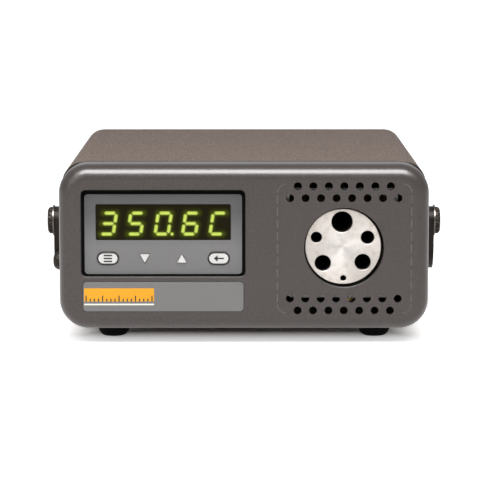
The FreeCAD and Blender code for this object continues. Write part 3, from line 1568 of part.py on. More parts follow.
def power_inlet():
    """The mains inlet with its socket and the slot for the fuse drawer, and the pins in it."""
    outer = PANEL_OUTER + d.inlet_flange
    piece = Piece("power_inlet")
    flange = piece.sketch("front", PANEL_OUTER)
    width, height = d.inlet_flange_width, d.inlet_flange_height
    rounded_rectangle(flange, INLET_X, ROW_Z, width, height, d.inlet_flange_round)
    piece.pad(flange, d.inlet_flange, backward=True)
    body = piece.sketch("front", PANEL_OUTER)
    rectangle(body, INLET_X, ROW_Z, d.inlet_body_width, d.inlet_body_height)
    piece.pad(body, d.inlet_body_depth)
    socket = piece.sketch("front", outer)
    half_width, half_height = d.socket_width / 2, d.socket_height / 2
    left, right = SOCKET_X - half_width, SOCKET_X + half_width
    low, high = ROW_Z - half_height, ROW_Z + half_height
    outline(socket, [
        (left, low),
        (right, low),
        (right, high - d.socket_chamfer),
        (right - d.socket_chamfer, high),
        (left + d.socket_chamfer, high),
        (left, high - d.socket_chamfer),
    ])
    piece.pocket(socket, d.socket_depth, backward=True)
    slot = piece.sketch("front", outer)
    spare = 2 * d.drawer_fit
    rectangle(slot, DRAWER_X, ROW_Z, d.drawer_width + spare, d.drawer_height + spare)
    piece.pocket(slot, d.drawer_length + d.drawer_fit, backward=True)
    root_y = outer - d.socket_depth
    pins = []
    for name, dx, dz in (("line", -1, -1), ("neutral", 1, -1), ("earth", 0, 1)):
        x = SOCKET_X + dx * d.pin_spread - d.pin_width / 2
        z = ROW_Z + dz * d.pin_drop - d.pin_height / 2
        pins.append(box(f"pin_{name}", (x, root_y, z), (d.pin_width, d.pin_length, d.pin_height)))
    node("inlet_pins", group("inlet_pins", pins))


def fuse_drawer():
    """The drawer beside the socket, with a tray for two fuses, and the fuses."""
    outer = PANEL_OUTER + d.inlet_flange
    piece = Piece("fuse_drawer")
    plate = piece.sketch("front", outer)
    lip = 2 * (d.drawer_fit + d.drawer_lip)
    width, height = d.drawer_width + lip, d.drawer_height + lip
    rounded_rectangle(plate, DRAWER_X, ROW_Z, width, height, d.drawer_lip)
    piece.pad(plate, d.drawer_plate, backward=True)
    body = piece.sketch("front", outer)
    rectangle(body, DRAWER_X, ROW_Z, d.drawer_width, d.drawer_height)
    piece.pad(body, d.drawer_length)
    tray = piece.sketch("side", DRAWER_X + d.drawer_width / 2)
    length = d.fuse_length + 2 * d.fuse_fit
    middle = outer - d.drawer_length + d.fuse_floor + length / 2
    for side in (-1, 1):
        rectangle(tray, middle, ROW_Z + side * d.fuse_spread, length, 2 * (d.fuse_radius + d.fuse_fit))
    piece.pocket(tray, d.drawer_width - d.fuse_floor)
    fuse_x = DRAWER_X - d.drawer_width / 2 + d.fuse_floor + d.fuse_fit + d.fuse_radius
    tubes = [
        rod(f"fuse_{name}", "Y", (fuse_x, middle - d.fuse_length / 2, ROW_Z + side * d.fuse_spread),
            d.fuse_radius, d.fuse_length)
        for name, side in (("low", -1), ("high", 1))
    ]
    node("fuses", group("fuses", tubes))


def power_switch():
    """The switch body, open for its rocker, with the rocker's axle across it."""
    outer = PANEL_OUTER + d.switch_flange
    axle_y = outer - d.rocker_set
    piece = Piece("power_switch")
    flange = piece.sketch("front", PANEL_OUTER)
    width, height = d.switch_flange_width, d.switch_flange_height
    rounded_rectangle(flange, SWITCH_X, ROW_Z, width, height, d.switch_wall)
    piece.pad(flange, d.switch_flange, backward=True)
    body = piece.sketch("front", PANEL_OUTER)
    rectangle(body, SWITCH_X, ROW_Z, d.switch_body_width, d.switch_body_height)
    piece.pad(body, d.switch_body_depth)
    cavity = piece.sketch("front", outer)
    inner_width = d.switch_body_width - 2 * d.switch_wall
    inner_height = d.switch_body_height - 2 * d.switch_wall
    rectangle(cavity, SWITCH_X, ROW_Z, inner_width, inner_height)
    piece.pocket(cavity, d.switch_flange + d.switch_body_depth - d.switch_floor, backward=True)
    axle = piece.sketch("side", SWITCH_X - d.switch_body_width / 2 + d.switch_wall / 2)
    round_hole(axle, axle_y, ROW_Z, d.rocker_axle)
    piece.pad(axle, d.switch_body_width - d.switch_wall)


def power_rocker():
    """The rocker: a drum about its axle with two faces that meet in a shallow valley."""
    axle_y = PANEL_OUTER + d.switch_flange - d.rocker_set
    piece = Piece("power_rocker")
    width = d.switch_body_width - 2 * d.switch_wall - 2 * d.rocker_side_play
    drum = piece.sketch("side", SWITCH_X - width / 2, right=axle_y, up=ROW_Z)
    round_hole(drum, 0.0, 0.0, d.rocker_radius)
    piece.pad(drum, width)
    away = piece.sketch("side", SWITCH_X - width / 2, right=axle_y, up=ROW_Z)
    far = 2 * d.rocker_radius
    lean = Dim(math.tan(math.radians(d.rocker_tilt.number)), f"tan({d.rocker_tilt.text} * 1 deg)")
    outline(away, [
        (d.rocker_face, dim(0.0)),
        (d.rocker_face, far),
        (far, far),
        (far, -1 * (far - d.rocker_face) / lean),
    ])
    piece.pocket(away, width, backward=True)
    back = piece.sketch("side", SWITCH_X - width / 2, right=axle_y, up=ROW_Z)
    rectangle(back, -d.rocker_back - d.rocker_radius / 2, dim(0.0), d.rocker_radius, far)
    piece.pocket(back, width, backward=True)
    bore = piece.sketch("side", SWITCH_X - width / 2, right=axle_y, up=ROW_Z)
    round_hole(bore, 0.0, 0.0, d.rocker_axle + d.running_fit)
    piece.pocket(bore, width, backward=True)


def serial_jack():
    """The signal jack and the hexagon nut that holds it to the panel."""
    piece = Piece("serial_jack")
    back_body = piece.sketch("front", PANEL_INNER - d.jack_body_depth)
    rectangle(back_body, JACK_X, ROW_Z, d.jack_body, d.jack_body)
    piece.pad(back_body, d.jack_body_depth, backward=True)
    bush = piece.sketch("front", PANEL_INNER)
    round_hole(bush, JACK_X, ROW_Z, d.jack_radius)
    piece.pad(bush, d.rear_thickness + d.jack_proud, backward=True)
    bore = piece.sketch("front", PANEL_OUTER + d.jack_proud)
    round_hole(bore, JACK_X, ROW_Z, d.jack_bore)
    piece.pocket(bore, d.jack_bore_depth, backward=True)
    nut = Piece("jack_nut")
    hexagon = nut.sketch("front", PANEL_OUTER)
    corners = []
    for i in range(6):
        turn = math.radians(60 * i)
        x = JACK_X + math.cos(turn) * d.jack_nut_radius
        corners.append((x, ROW_Z + math.sin(turn) * d.jack_nut_radius))
    outline(hexagon, corners)
    nut.pad(hexagon, d.jack_nut_height, backward=True)
    hole = nut.sketch("front", PANEL_OUTER)
    round_hole(hole, JACK_X, ROW_Z, d.jack_radius + d.screw_clearance)
    nut.pocket(hole)


front_bezel()
front_frame()
top_cover()
base_tray()
feet()
small_screws()
handle_bail()
pivots()
handle_stop()
display_panel()
display_window()
display_housing()
display_boards()
keys()
label_plate()
well_block()
heater_pieces()
heat_shield()
control_board()
board_pieces()
fan_frame()
fan_rotor()
fan_screws()
rear_panel()
power_inlet()
fuse_drawer()
power_switch()
power_rocker()
serial_jack()

doc.recompute()
for obj in doc.Objects:
    if "Invalid" in obj.State or "Error" in obj.State:
        raise RuntimeError(f"{obj.Name} failed: {obj.State}")
for label, obj in nodes.items():
    if obj.Shape.isNull() or not obj.Shape.isValid():
        raise RuntimeError(f"{label} has no valid shape")

os.makedirs("parts", exist_ok=True)
for label, obj in nodes.items():
    obj.Shape.exportStep(f"parts/{label}.step")
print(f"{len(nodes)} pieces written")
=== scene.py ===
import json
import math

import bmesh
import bpy
from bpy.props import FloatProperty, FloatVectorProperty, IntProperty, PointerProperty, StringProperty
from mathutils import Matrix, Vector


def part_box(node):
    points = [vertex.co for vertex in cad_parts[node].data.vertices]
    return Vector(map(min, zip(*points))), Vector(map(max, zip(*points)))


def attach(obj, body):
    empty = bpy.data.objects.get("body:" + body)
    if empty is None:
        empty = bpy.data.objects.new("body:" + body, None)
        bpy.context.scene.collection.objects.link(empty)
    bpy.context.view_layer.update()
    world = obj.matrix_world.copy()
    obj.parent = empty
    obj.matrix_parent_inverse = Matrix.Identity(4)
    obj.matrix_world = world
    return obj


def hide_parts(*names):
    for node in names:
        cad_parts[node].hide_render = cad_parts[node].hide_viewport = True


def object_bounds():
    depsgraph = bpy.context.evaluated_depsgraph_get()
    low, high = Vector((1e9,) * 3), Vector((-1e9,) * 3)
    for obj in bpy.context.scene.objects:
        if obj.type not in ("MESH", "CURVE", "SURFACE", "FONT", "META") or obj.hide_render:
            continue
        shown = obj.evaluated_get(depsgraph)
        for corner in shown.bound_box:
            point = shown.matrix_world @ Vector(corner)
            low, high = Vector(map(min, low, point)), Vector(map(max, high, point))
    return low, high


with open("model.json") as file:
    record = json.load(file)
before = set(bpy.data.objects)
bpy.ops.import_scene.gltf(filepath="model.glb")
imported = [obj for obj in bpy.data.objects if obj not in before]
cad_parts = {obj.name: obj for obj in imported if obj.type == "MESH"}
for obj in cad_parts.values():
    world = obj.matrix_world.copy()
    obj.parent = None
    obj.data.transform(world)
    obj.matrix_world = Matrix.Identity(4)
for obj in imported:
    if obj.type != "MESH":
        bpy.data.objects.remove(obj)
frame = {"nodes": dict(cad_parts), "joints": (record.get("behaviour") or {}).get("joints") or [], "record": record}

bl_info = {
    "name": "Dry Block Heater Looks",
    "version": (1, 0, 0),
    "blender": (4, 5, 0),
    "location": "3D View > Sidebar > Heater",
    "description": "Finishes, prints and fasteners for a bench dry block heater",
    "category": "Object",
}

CAD_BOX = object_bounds()
NODES = frame["nodes"]
SLOT_OF = {row["node"]: row["material_slot"] for row in frame["record"]["subparts"]}
MM = 0.001
BLACK = (0.0, 0.0, 0.0, 1.0)
UNTURNED = (0.0, 0.0, 0.0)
CORNERS = ((-1, -1), (1, -1), (1, 1), (-1, 1))


class Wire:
    """One socket of a node tree, which Python sums can use."""

    def __init__(self, tree, socket=None):
        self.tree = tree
        self.socket = socket

    def node(self, kind, settings=(), inputs=(), out=0):
        """Adds a node: its settings first, then the values or links of its sockets."""
        made = self.tree.nodes.new(kind)
        for name, value in dict(settings).items():
            setattr(made, name, value)
        for name, value in dict(inputs).items():
            if isinstance(value, Wire):
                self.tree.links.new(value.socket, made.inputs[name])
            else:
                made.inputs[name].default_value = value
        return Wire(self.tree, made.outputs[out])

    def maths(self, operation, *values):
        return self.node("ShaderNodeMath", {"operation": operation}, dict(enumerate(values)))

    def __add__(self, other):
        return self.maths("ADD", self, other)

    __radd__ = __add__

    def __sub__(self, other):
        return self.maths("SUBTRACT", self, other)

    def __rsub__(self, other):
        return self.maths("SUBTRACT", other, self)

    def __mul__(self, other):
        return self.maths("MULTIPLY", self, other)

    __rmul__ = __mul__


def place(wire):
    """Where a point of the object is, in metres."""
    return wire.node("ShaderNodeTexCoord", out="Object")


def axes(wire):
    """The three parts of a point's place."""
    spot = place(wire)
    return [wire.node("ShaderNodeSeparateXYZ", inputs={"Vector": spot}, out=axis) for axis in "XYZ"]


def span(right, up):
    """The length of a line that goes right and up by these."""
    return right.maths("SQRT", right * right + up * up)


def grain(wire, size, detail=2.0, stretch=(1.0, 1.0, 1.0)):
    """Noise whose lumps are about size across, drawn out along the axes by stretch."""
    scale = tuple(1.0 / part for part in stretch)
    spot = wire.node("ShaderNodeMapping", inputs={"Vector": place(wire), "Scale": scale})
    return wire.node("ShaderNodeTexNoise", inputs={"Vector": spot, "Scale": 1.0 / size, "Detail": detail})


def mask(value, start, end):
    """Nought at start, one at end, and even between them."""
    inputs = {"Value": value, "From Min": start, "From Max": end}
    return value.node("ShaderNodeMapRange", {"clamp": True}, inputs)


def mix(factor, low, high):
    """A colour between two others. The node's colour sockets go by number."""
    return factor.node("ShaderNodeMix", {"data_type": "RGBA"}, {0: factor, 6: low, 7: high}, out=2)


def bump(height, depth):
    """A surface raised by height times depth."""
    return height.node("ShaderNodeBump", inputs={"Height": height, "Distance": depth}, out="Normal")


def shade(colour, factor=1.0):
    """A colour made lighter or darker."""
    return tuple(min(1.0, part * factor) for part in colour[:3]) + (1.0,)


def shades(factor, colour, low, high):
    """A colour that goes from one of its shades to another."""
    return mix(factor, shade(colour, low), shade(colour, high))


def material(name, looks, *given, **fixed):
    """A material with fixed socket values and with looks, which vary over the surface."""
    made = bpy.data.materials.new(name)
    made.use_nodes = True
    tree = made.node_tree
    shader = tree.nodes["Principled BSDF"]
    for socket, value in fixed.items():
        shader.inputs[socket.replace("_", " ")].default_value = value
    for socket, value in looks(Wire(tree), *given).items():
        tree.links.new(value.socket, shader.inputs[socket])
    return made


def speckled(wire, colour, size, contrast, roughness, relief):
    """A plain coating with a fine grain and broad, faint patches."""
    fine, broad = grain(wire, size), grain(wire, 30 * MM, 3.0)
    tone = shades(fine, colour, 1.0 - contrast, 1.0 + contrast)
    return {
        "Base Color": mix(broad * 0.16, tone, shade(colour, 0.75)),
        "Roughness": roughness + 0.12 * (fine - 0.5) + 0.1 * (broad - 0.5),
        "Normal": bump(fine, relief),
    }


def brushed(wire, colour):
    """Plating with a drawn-out brushed grain."""
    lines = grain(wire, 0.25 * MM, 3.0, (1.0, 30.0, 1.0))
    return {
        "Base Color": shades(lines, colour, 0.8, 1.1),
        "Roughness": 0.22 + 0.18 * lines,
        "Normal": bump(lines, 0.004 * MM),
    }


def layered(wire, colour, pitch, roughness):
    """A stack of thin sheets, seen as fine lines along Z."""
    inputs = {"Vector": place(wire), "Scale": 0.3 / pitch, "Distortion": 0.6, "Detail": 2.0}
    lines = wire.node("ShaderNodeTexWave", {"bands_direction": "Z"}, inputs, out="Fac")
    return {
        "Base Color": shades(lines, colour, 0.7, 1.2),
        "Roughness": roughness + 0.15 * lines,
        "Normal": bump(lines, 0.02 * MM),
    }


FINISHES = {}


def finish_with(**fixed):
    """Lists a function as the looks of the finish that it is named for, with fixed socket values."""

    def listed(looks):
        FINISHES[looks.__name__] = looks, fixed
        return looks

    return listed


@finish_with(Coat_Roughness=0.2, Specular_IOR_Level=0.2)
def bezel_paint(wire, colours):
    """Semi-gloss paint with an orange peel, a painted highlight in the dashed line, and painted shade in the cuts
    and on the rear lip.
    """
    low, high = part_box("front_bezel")
    block_low, block_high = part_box("well_block")
    centre, block = (low + high) / 2, (block_low + block_high) / 2
    fillet, corner, blur, fade = 5.1 * MM, 3.0 * MM, 0.2 * MM, 1.0 * MM
    wide, tall = (high.x - low.x) / 2 - fillet, (high.z - low.z) / 2 - fillet
    diagonal = wide + tall - corner
    lip = high.y - 1.7 * MM
    beside_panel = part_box("display_panel")[1].x + 3 * MM
    round_block = (block_high.x - block_low.x) / 2 + 2 * MM
    line_start, line_depth = low.y + 0.05 * MM, 0.1 * MM
    cut_start, cut_depth, below_line = low.y + 0.1 * MM, 0.25 * MM, 0.2 * MM

    x, y, z = axes(wire)
    across, rise = wire.maths("ABSOLUTE", x - centre.x), wire.maths("ABSOLUTE", z - centre.z)
    ahead = mask(y, high.y + 2 * fade, high.y + fade)
    flat = mask(across, wide, wide - blur) * mask(rise, tall, tall - blur)
    flat = flat * mask(across + rise, diagonal, diagonal - blur) * ahead
    lined = mask(x, beside_panel, beside_panel + fade)
    lined = lined * mask(span(x - block.x, z - block.z), round_block, round_block + fade)
    # Painted highlight: the shallow dashes of the dashed line are drawn much paler than the paint, as if lit.
    line = flat * lined * mask(y, line_start, line_start + line_depth)
    # Painted shade: places cut deeper than the dashes, such as the vents and holes, are drawn near black, rougher
    # and without coat.
    start = cut_start + below_line * lined
    cut = flat * mask(y, start, start + cut_depth)
    # Painted shade: the bezel's rear lip is drawn near black too, for the dark gap between the bezel and the
    # cover.
    dark = wire.maths("MAXIMUM", cut, ahead * mask(y, lip, lip + blur))

    made = speckled(wire, colours.bezel, 0.7 * MM, 0.45, 0.36, 0.02 * MM)
    tone = mix(line, made["Base Color"], shade(colours.bezel, 3.0))
    made["Base Color"] = mix(dark, tone, shade(colours.bezel, 0.1))
    made["Roughness"] = made["Roughness"] + 0.4 * dark
    made["Coat Weight"] = 0.35 - 0.35 * dark
    return made


@finish_with(Specular_IOR_Level=0.15)
def cover_powder(wire, colours):
    """Wrinkled powder coat with pale and dark grains, and painted shade along the seam behind the bezel."""
    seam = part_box("top_cover")[0].y
    coarse, fine = grain(wire, 1.2 * MM, 3.0), grain(wire, 0.5 * MM)
    pale, dark = mask(fine, 0.52, 0.66), mask(coarse, 0.54, 0.42)
    tone = shades(pale, colours.cover, 0.88, 1.9)
    tone = mix(dark * 0.55, tone, shade(colours.cover, 0.45))
    # Painted shade: the cover is drawn darker just behind the seam, for the shadowed gap at the bezel's rear edge.
    painted_shade = mask(axes(wire)[1], seam + 4 * MM, seam + 2 * MM)
    return {
        "Base Color": mix(painted_shade * 0.8, tone, shade(colours.cover, 0.12)),
        "Roughness": 0.6 - 0.2 * pale,
        "Normal": bump(coarse + fine * 0.5, 0.3 * MM),
    }


@finish_with(Specular_IOR_Level=0.1)
def strap_paint(wire, colours):
    """Satin paint, rubbed a little paler in patches."""
    made = speckled(wire, colours.strap, 0.5 * MM, 0.06, 0.42, 0.02 * MM)
    rubbed = mask(grain(wire, 6 * MM, 5.0), 0.6, 0.78)
    made["Base Color"] = mix(rubbed * 0.5, made["Base Color"], shade(colours.strap, 2.0))
    return made


@finish_with(Metallic=0.8)
def black_steel(wire, colours):
    """Blackened steel that shines through where it is handled."""
    worn = mask(grain(wire, 1.4 * MM, 4.0), 0.56, 0.74)
    return {
        "Base Color": shades(worn, colours.blackened, 1.0, 3.0),
        "Roughness": 0.55 - 0.14 * worn,
        "Normal": bump(grain(wire, 0.3 * MM), 0.01 * MM),
    }


@finish_with(Metallic=1.0)
def bright_steel(wire, colours):
    """Bright plating of the screws and inner sheets."""
    return brushed(wire, colours.plated)


@finish_with(Metallic=1.0)
def dull_steel(wire, colours):
    """Darker plating; on the front frame it is painted shade behind the vents."""
    return brushed(wire, colours.dulled)


@finish_with(Specular_IOR_Level=0.3)
def panel_grey(wire, colours):
    """Printed panel film, with painted shade towards the upper edge of its recess."""
    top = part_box("display_panel")[1].z
    made = speckled(wire, colours.panel, 0.3 * MM, 0.08, 0.45, 0.008 * MM)
    # Painted shade: the panel is drawn darker towards its upper edge, for the shadow that the recess's upper edge
    # casts on it.
    painted_shade = mask(axes(wire)[2], top - 18 * MM, top - 6 * MM)
    made["Base Color"] = mix(painted_shade * 0.55, made["Base Color"], shade(colours.panel, 0.1))
    return made


@finish_with(Specular_IOR_Level=0.05)
def foot_rubber(wire, colours):
    """Dull rubber with dust in its pores."""
    made = speckled(wire, colours.rubber, 0.5 * MM, 0.2, 0.8, 0.05 * MM)
    dust = mask(grain(wire, 2.5 * MM, 4.0), 0.58, 0.8)
    made["Base Color"] = mix(dust * 0.2, made["Base Color"], shade(colours.dust))
    return made


@finish_with()
def block_metal(wire, colours):
    """Turned aluminium: rings about the block's axis, a painted sheen in sectors, and painted shade in the wells
    that darkens inwards.
    """
    low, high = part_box("well_block")
    centre, radius = (low + high) / 2, (high.x - low.x) / 2
    x, y, z = axes(wire)
    right, up = x - centre.x, z - centre.z
    reach, turn = span(right, up), wire.maths("ARCTAN2", up, right)
    inputs = {"W": reach, "Scale": 5000.0, "Detail": 2.0}
    rings = wire.node("ShaderNodeTexNoise", {"noise_dimensions": "1D"}, inputs)
    # Painted sheen: lighter and darker sectors about the block's axis, for the reflections of the turned metal.
    thirds, halves = wire.maths("SINE", turn * 3.0 + 0.9), wire.maths("SINE", turn * 2.0 - 0.5)
    smudge = mask(grain(wire, 2 * MM, 5.0), 0.46, 0.72)
    edge = mask(reach, radius * 0.3, radius)
    # Painted shade: deeper than the face, the wells are drawn near black, rougher and less metallic.
    painted_well_shade = mask(y, low.y + 0.5 * MM, low.y + 2.5 * MM) * mask(reach, radius, radius - 0.2 * MM)
    tone = shades(thirds * 0.3 + halves * 0.2 + 0.5, colours.block, 0.75, 1.12)
    tone = mix(smudge * 0.4 + edge * 0.3, tone, shade(colours.scorch))
    return {
        "Base Color": mix(painted_well_shade, tone, shade(colours.well)),
        "Roughness": 0.36 + 0.14 * rings + 0.25 * painted_well_shade,
        "Metallic": 0.75 - 0.55 * painted_well_shade,
        "Normal": bump(rings, 0.006 * MM),
    }


@finish_with()
def board_green(wire, colours):
    """Solder mask with copper runs under it."""
    inputs = {"Vector": place(wire), "Scale": 160.0, "Mortar Size": 0.06, "Row Height": 0.4}
    tracks = wire.node("ShaderNodeTexBrick", {"offset": 0.37}, inputs, out="Fac")
    return {
        "Base Color": shades(tracks * 0.7, colours.board, 1.0, 2.2),
        "Roughness": 0.34 + 0.1 * grain(wire, 1 * MM),
        "Normal": bump(tracks, 0.03 * MM),
    }


@finish_with()
def mica(wire, colours):
    """Split mica of the support plates."""
    return layered(wire, colours.mica, 0.2 * MM, 0.4)


@finish_with(Metallic=0.6)
def core_iron(wire, colours):
    """Stacked iron of the transformer's core."""
    return layered(wire, colours.core, 0.5 * MM, 0.45)


@finish_with(Metallic=1.0)
def brass(wire, colours):
    """Turned brass with a light tarnish."""
    tarnish = grain(wire, 2 * MM, 4.0)
    return {
        "Base Color": shades(mask(tarnish, 0.4, 0.75), colours.brass, 1.0, 0.55),
        "Roughness": 0.24 + 0.25 * tarnish,
        "Normal": bump(tarnish, 0.006 * MM),
    }


@finish_with(Transmission_Weight=0.9, IOR=1.5)
def fuse_glass(wire, colours):
    """Clear tube glass with a faint haze."""
    haze = grain(wire, 1.5 * MM)
    return {
        "Base Color": shades(haze, colours.key, 0.9, 1.05),
        "Roughness": 0.04 + 0.1 * haze,
    }


@finish_with(Emission_Strength=1.0, Roughness=0.5)
def led_glow(wire, colours):
    """Lit bars, brightest along their middles."""
    core = wire.node("ShaderNodeAttribute", {"attribute_name": "core"}, out="Fac")
    patches = grain(wire, 1.2 * MM)
    tone = shades(patches, colours.lit, 0.8, 1.15)
    return {
        "Base Color": mix(patches, (0.02, 0.03, 0.0, 1.0), (0.03, 0.04, 0.0, 1.0)),
        "Emission Color": mix(core, shade(colours.lit_edge), tone),
    }


@finish_with(Emission_Strength=1.0, Specular_IOR_Level=0.03)
def tinted_window(wire, colours):
    """Dark tinted plastic with a painted glow round the lit bars: the window's own emission stands for their light
    scattered in it.
    """
    glow = wire.node("ShaderNodeAttribute", {"attribute_name": "glow"}, out="Fac")
    film = grain(wire, 5 * MM, 3.0)
    return {
        "Base Color": shades(film, colours.window, 0.8, 1.2),
        # Painted glow of the lit bars in the window.
        "Emission Color": mix(glow, BLACK, shade(colours.haze)),
        "Roughness": 0.12 + 0.12 * film,
    }


# Colour, roughness and, where they aren't the usual ones, grain size, relief and gloss of the plain plastics.
PLASTICS = {
    "spacer_black": ("black", 0.5),
    "housing_black": ("black", 0.8, 0.35 * MM, 0.012 * MM, 0.05),
    "key_white": ("key", 0.38, 0.5 * MM, 0.004 * MM),
    "label_grey": ("label", 0.42, 0.25 * MM, 0.006 * MM),
    "fibre": ("fibre", 0.9, 0.8 * MM, 0.3 * MM),
    "fan_plastic": ("black", 0.45),
    "inlet_plastic": ("black", 0.4, 0.3 * MM, 0.02 * MM),
}


def plain_plastic(name, colour, roughness, size=0.35 * MM, relief=0.012 * MM, gloss=0.3):
    """Moulded or printed plastic with a fine grain."""
    contrast = 0.05
    return material(name, speckled, colour, size, contrast, roughness, relief, Specular_IOR_Level=gloss)


def named_finish(name, colours):
    """The material of one of the finishes."""
    if name in PLASTICS:
        colour, *surface = PLASTICS[name]
        return plain_plastic(name, getattr(colours, colour), *surface)
    looks, fixed = FINISHES[name]
    return material(name, looks, colours, **fixed)


def finish_nodes(slots, colours):
    """Gives the CAD nodes of these slots their materials."""
    made = {slot: named_finish(slot, colours) for slot in slots}
    for node, slot in SLOT_OF.items():
        if slot in made:
            materials = NODES[node].data.materials
            materials.clear()
            materials.append(made[slot])


def add_object(name, data):
    """Puts a new object into the scene."""
    made = bpy.data.objects.new(name, data)
    bpy.context.scene.collection.objects.link(made)
    return made


def new_piece(mesh, body, finish=None):
    """Puts a finished mesh into the scene under its own name and on its body, with the finish if one is given."""
    made = add_object(mesh.name, mesh)
    if finish is not None:
        mesh.materials.append(finish)
    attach(made, body)
    return made


def applied(source, *helpers):
    """The mesh that an object's modifiers give. The object and its helpers are then removed."""
    graph = bpy.context.evaluated_depsgraph_get()
    made = bpy.data.meshes.new_from_object(source.evaluated_get(graph))
    for spare in (source, *helpers):
        data = spare.data
        bpy.data.objects.remove(spare)
        bpy.data.meshes.remove(data)
    return made


def mesh_from(name, build, smooth=False):
    """A mesh from a function that fills a bmesh."""
    shape = bmesh.new()
    build(shape)
    bmesh.ops.recalc_face_normals(shape, faces=shape.faces)
    for face in shape.faces:
        face.smooth = smooth
    made = bpy.data.meshes.new(name)
    shape.to_mesh(made)
    shape.free()
    return made


def level(shape, outline, y):
    """The points of an outline of x, z pairs, all at one level of Y."""
    return [shape.verts.new((x, y, z)) for x, z in outline]


def circle(x, z, radius, count=32):
    """The outline of a circle."""
    turns = [2 * math.pi * i / count for i in range(count)]
    return [(x + radius * math.cos(turn), z + radius * math.sin(turn)) for turn in turns]


def lathe(shape, profile, segments):
    """Rings of points about Z, one for each radius and height of a profile."""
    return [[shape.verts.new((x, y, z)) for x, y in circle(0.0, 0.0, r, segments)] for r, z in profile]


def skin(shape, rings):
    """Faces from each ring of points to the next."""
    for ring, after in zip(rings, rings[1:]):
        for i in range(len(ring)):
            j = (i + 1) % len(ring)
            shape.faces.new((ring[i], ring[j], after[j], after[i]))


def prism(shape, outline, near, far):
    """A flat outline as a closed prism between two levels of Y."""
    front, back = level(shape, outline, near), level(shape, outline, far)
    shape.faces.new(front)
    shape.faces.new(back[::-1])
    skin(shape, (front, back))


def loop_prism(shape, outer, inner, near, far):
    """The band between two outlines with the same number of points, as a closed prism."""
    lines = ((outer, near), (inner, near), (inner, far), (outer, far))
    loops = [level(shape, line, y) for line, y in lines]
    skin(shape, loops + loops[:1])


def ridge(shape, outline, reach):
    """A prism from Y -1 to 0 whose near face rises to a ridge that goes out to reach on both sides."""
    near, peak = -1.0, -1.3
    front, back = level(shape, outline, near), level(shape, outline, 0.0)
    left = shape.verts.new((-reach, peak, 0.0))
    right = shape.verts.new((reach, peak, 0.0)) if reach else left
    shape.faces.new(back[::-1])
    skin(shape, (front, back))
    for i in range(len(outline)):
        j = (i + 1) % len(outline)
        tops = [right if outline[k][0] > 0.0 else left for k in (j, i)]
        shape.faces.new((front[i], front[j], *dict.fromkeys(tops)))


def lit_shape(name, outline, reach):
    """A ridge whose peak is marked as its bright core."""
    mesh = mesh_from(name, lambda shape: ridge(shape, outline, reach))
    core = mesh.attributes.new("core", "FLOAT", "POINT")
    peak = min(vertex.co.y for vertex in mesh.vertices)
    for vertex, value in zip(mesh.vertices, core.data):
        value.value = 1.0 if vertex.co.y < peak + 0.01 else 0.0
    return mesh


def printed(name, outlines, near, far):
    """A mesh of flat printed shapes between two levels of Y."""

    def build(shape):
        for outline in outlines:
            prism(shape, outline, near, far)

    return mesh_from(name, build)


def bar(x, z, width, height):
    """The outline of an upright rectangle about x, z."""
    return [(x + sx * width / 2, z + sz * height / 2) for sx, sz in CORNERS]


def pill(x, z, half_width, half_height, count=16):
    """The outline of a level bar with round ends."""
    turns = [math.pi * (i / count - 0.5) for i in range(count + 1)]
    right = [(half_width - half_height + half_height * math.cos(t), half_height * math.sin(t)) for t in turns]
    return [(x + dx, z + dz) for dx, dz in right] + [(x - dx, z - dz) for dx, dz in right]


def scatter_tree():
    """Geometry nodes that set a shape on each point, turned and grown as the point says."""
    name = "shapes_on_points"
    if name in bpy.data.node_groups:
        return bpy.data.node_groups[name]
    tree = bpy.data.node_groups.new(name, "GeometryNodeTree")
    kinds = {"Points": "Geometry", "Shape": "Object", "Size": "Float", "Finish": "Material"}
    for label, kind in kinds.items():
        tree.interface.new_socket(label, in_out="INPUT", socket_type=f"NodeSocket{kind}")
    tree.interface.new_socket("Geometry", in_out="OUTPUT", socket_type="NodeSocketGeometry")
    wire = Wire(tree)

    def given(label):
        return wire.node("NodeGroupInput", out=label)

    def attribute(label):
        kind = {"data_type": "FLOAT_VECTOR"}
        return wire.node("GeometryNodeInputNamedAttribute", kind, {"Name": label}, "Attribute")

    shape = wire.node("GeometryNodeObjectInfo", inputs={"Object": given("Shape")}, out="Geometry")
    rotation = wire.node("FunctionNodeEulerToRotation", inputs={"Euler": attribute("turn")})
    sizes = {0: attribute("grow"), "Scale": given("Size")}
    scale = wire.node("ShaderNodeVectorMath", {"operation": "SCALE"}, sizes)
    links = {"Points": given("Points"), "Instance": shape, "Rotation": rotation, "Scale": scale}
    placed = wire.node("GeometryNodeInstanceOnPoints", inputs=links)
    real = wire.node("GeometryNodeRealizeInstances", inputs={"Geometry": placed})
    finished = wire.node("GeometryNodeSetMaterial", inputs={"Geometry": real, "Material": given("Finish")})
    tree.links.new(finished.socket, tree.nodes.new("NodeGroupOutput").inputs["Geometry"])
    return tree


def scatter(name, spots, shape, finish, size=1.0):
    """One mesh with a copy of a shape at each spot, given as (place, turn, grow)."""
    points = bpy.data.meshes.new(name + "_points")
    points.from_pydata([spot[0] for spot in spots], [], [])
    for label, column in (("turn", 1), ("grow", 2)):
        values = points.attributes.new(label, "FLOAT_VECTOR", "POINT")
        values.data.foreach_set("vector", [part for spot in spots for part in spot[column]])
    carrier, pattern = add_object(name + "_carrier", points), add_object(name + "_pattern", shape)
    modifier = carrier.modifiers.new("shapes", "NODES")
    modifier.node_group = scatter_tree()
    wanted = {"Shape": pattern, "Size": size, "Finish": finish}
    for socket in modifier.node_group.interface.items_tree:
        if socket.in_out == "INPUT" and socket.name in wanted:
            modifier[socket.identifier] = wanted[socket.name]
    made = applied(carrier, pattern)
    made.name = name
    return made


# Which bars light up for each sign: top, upper left and right, middle, lower left and right, foot.
SIGNS = {
    "0": "1110111", "1": "0010010", "2": "1011101", "3": "1011011", "4": "0111010", "5": "1101011",
    "6": "1101111", "7": "1010010", "8": "1111111", "9": "1111011", "C": "1100101", "-": "0001000",
}


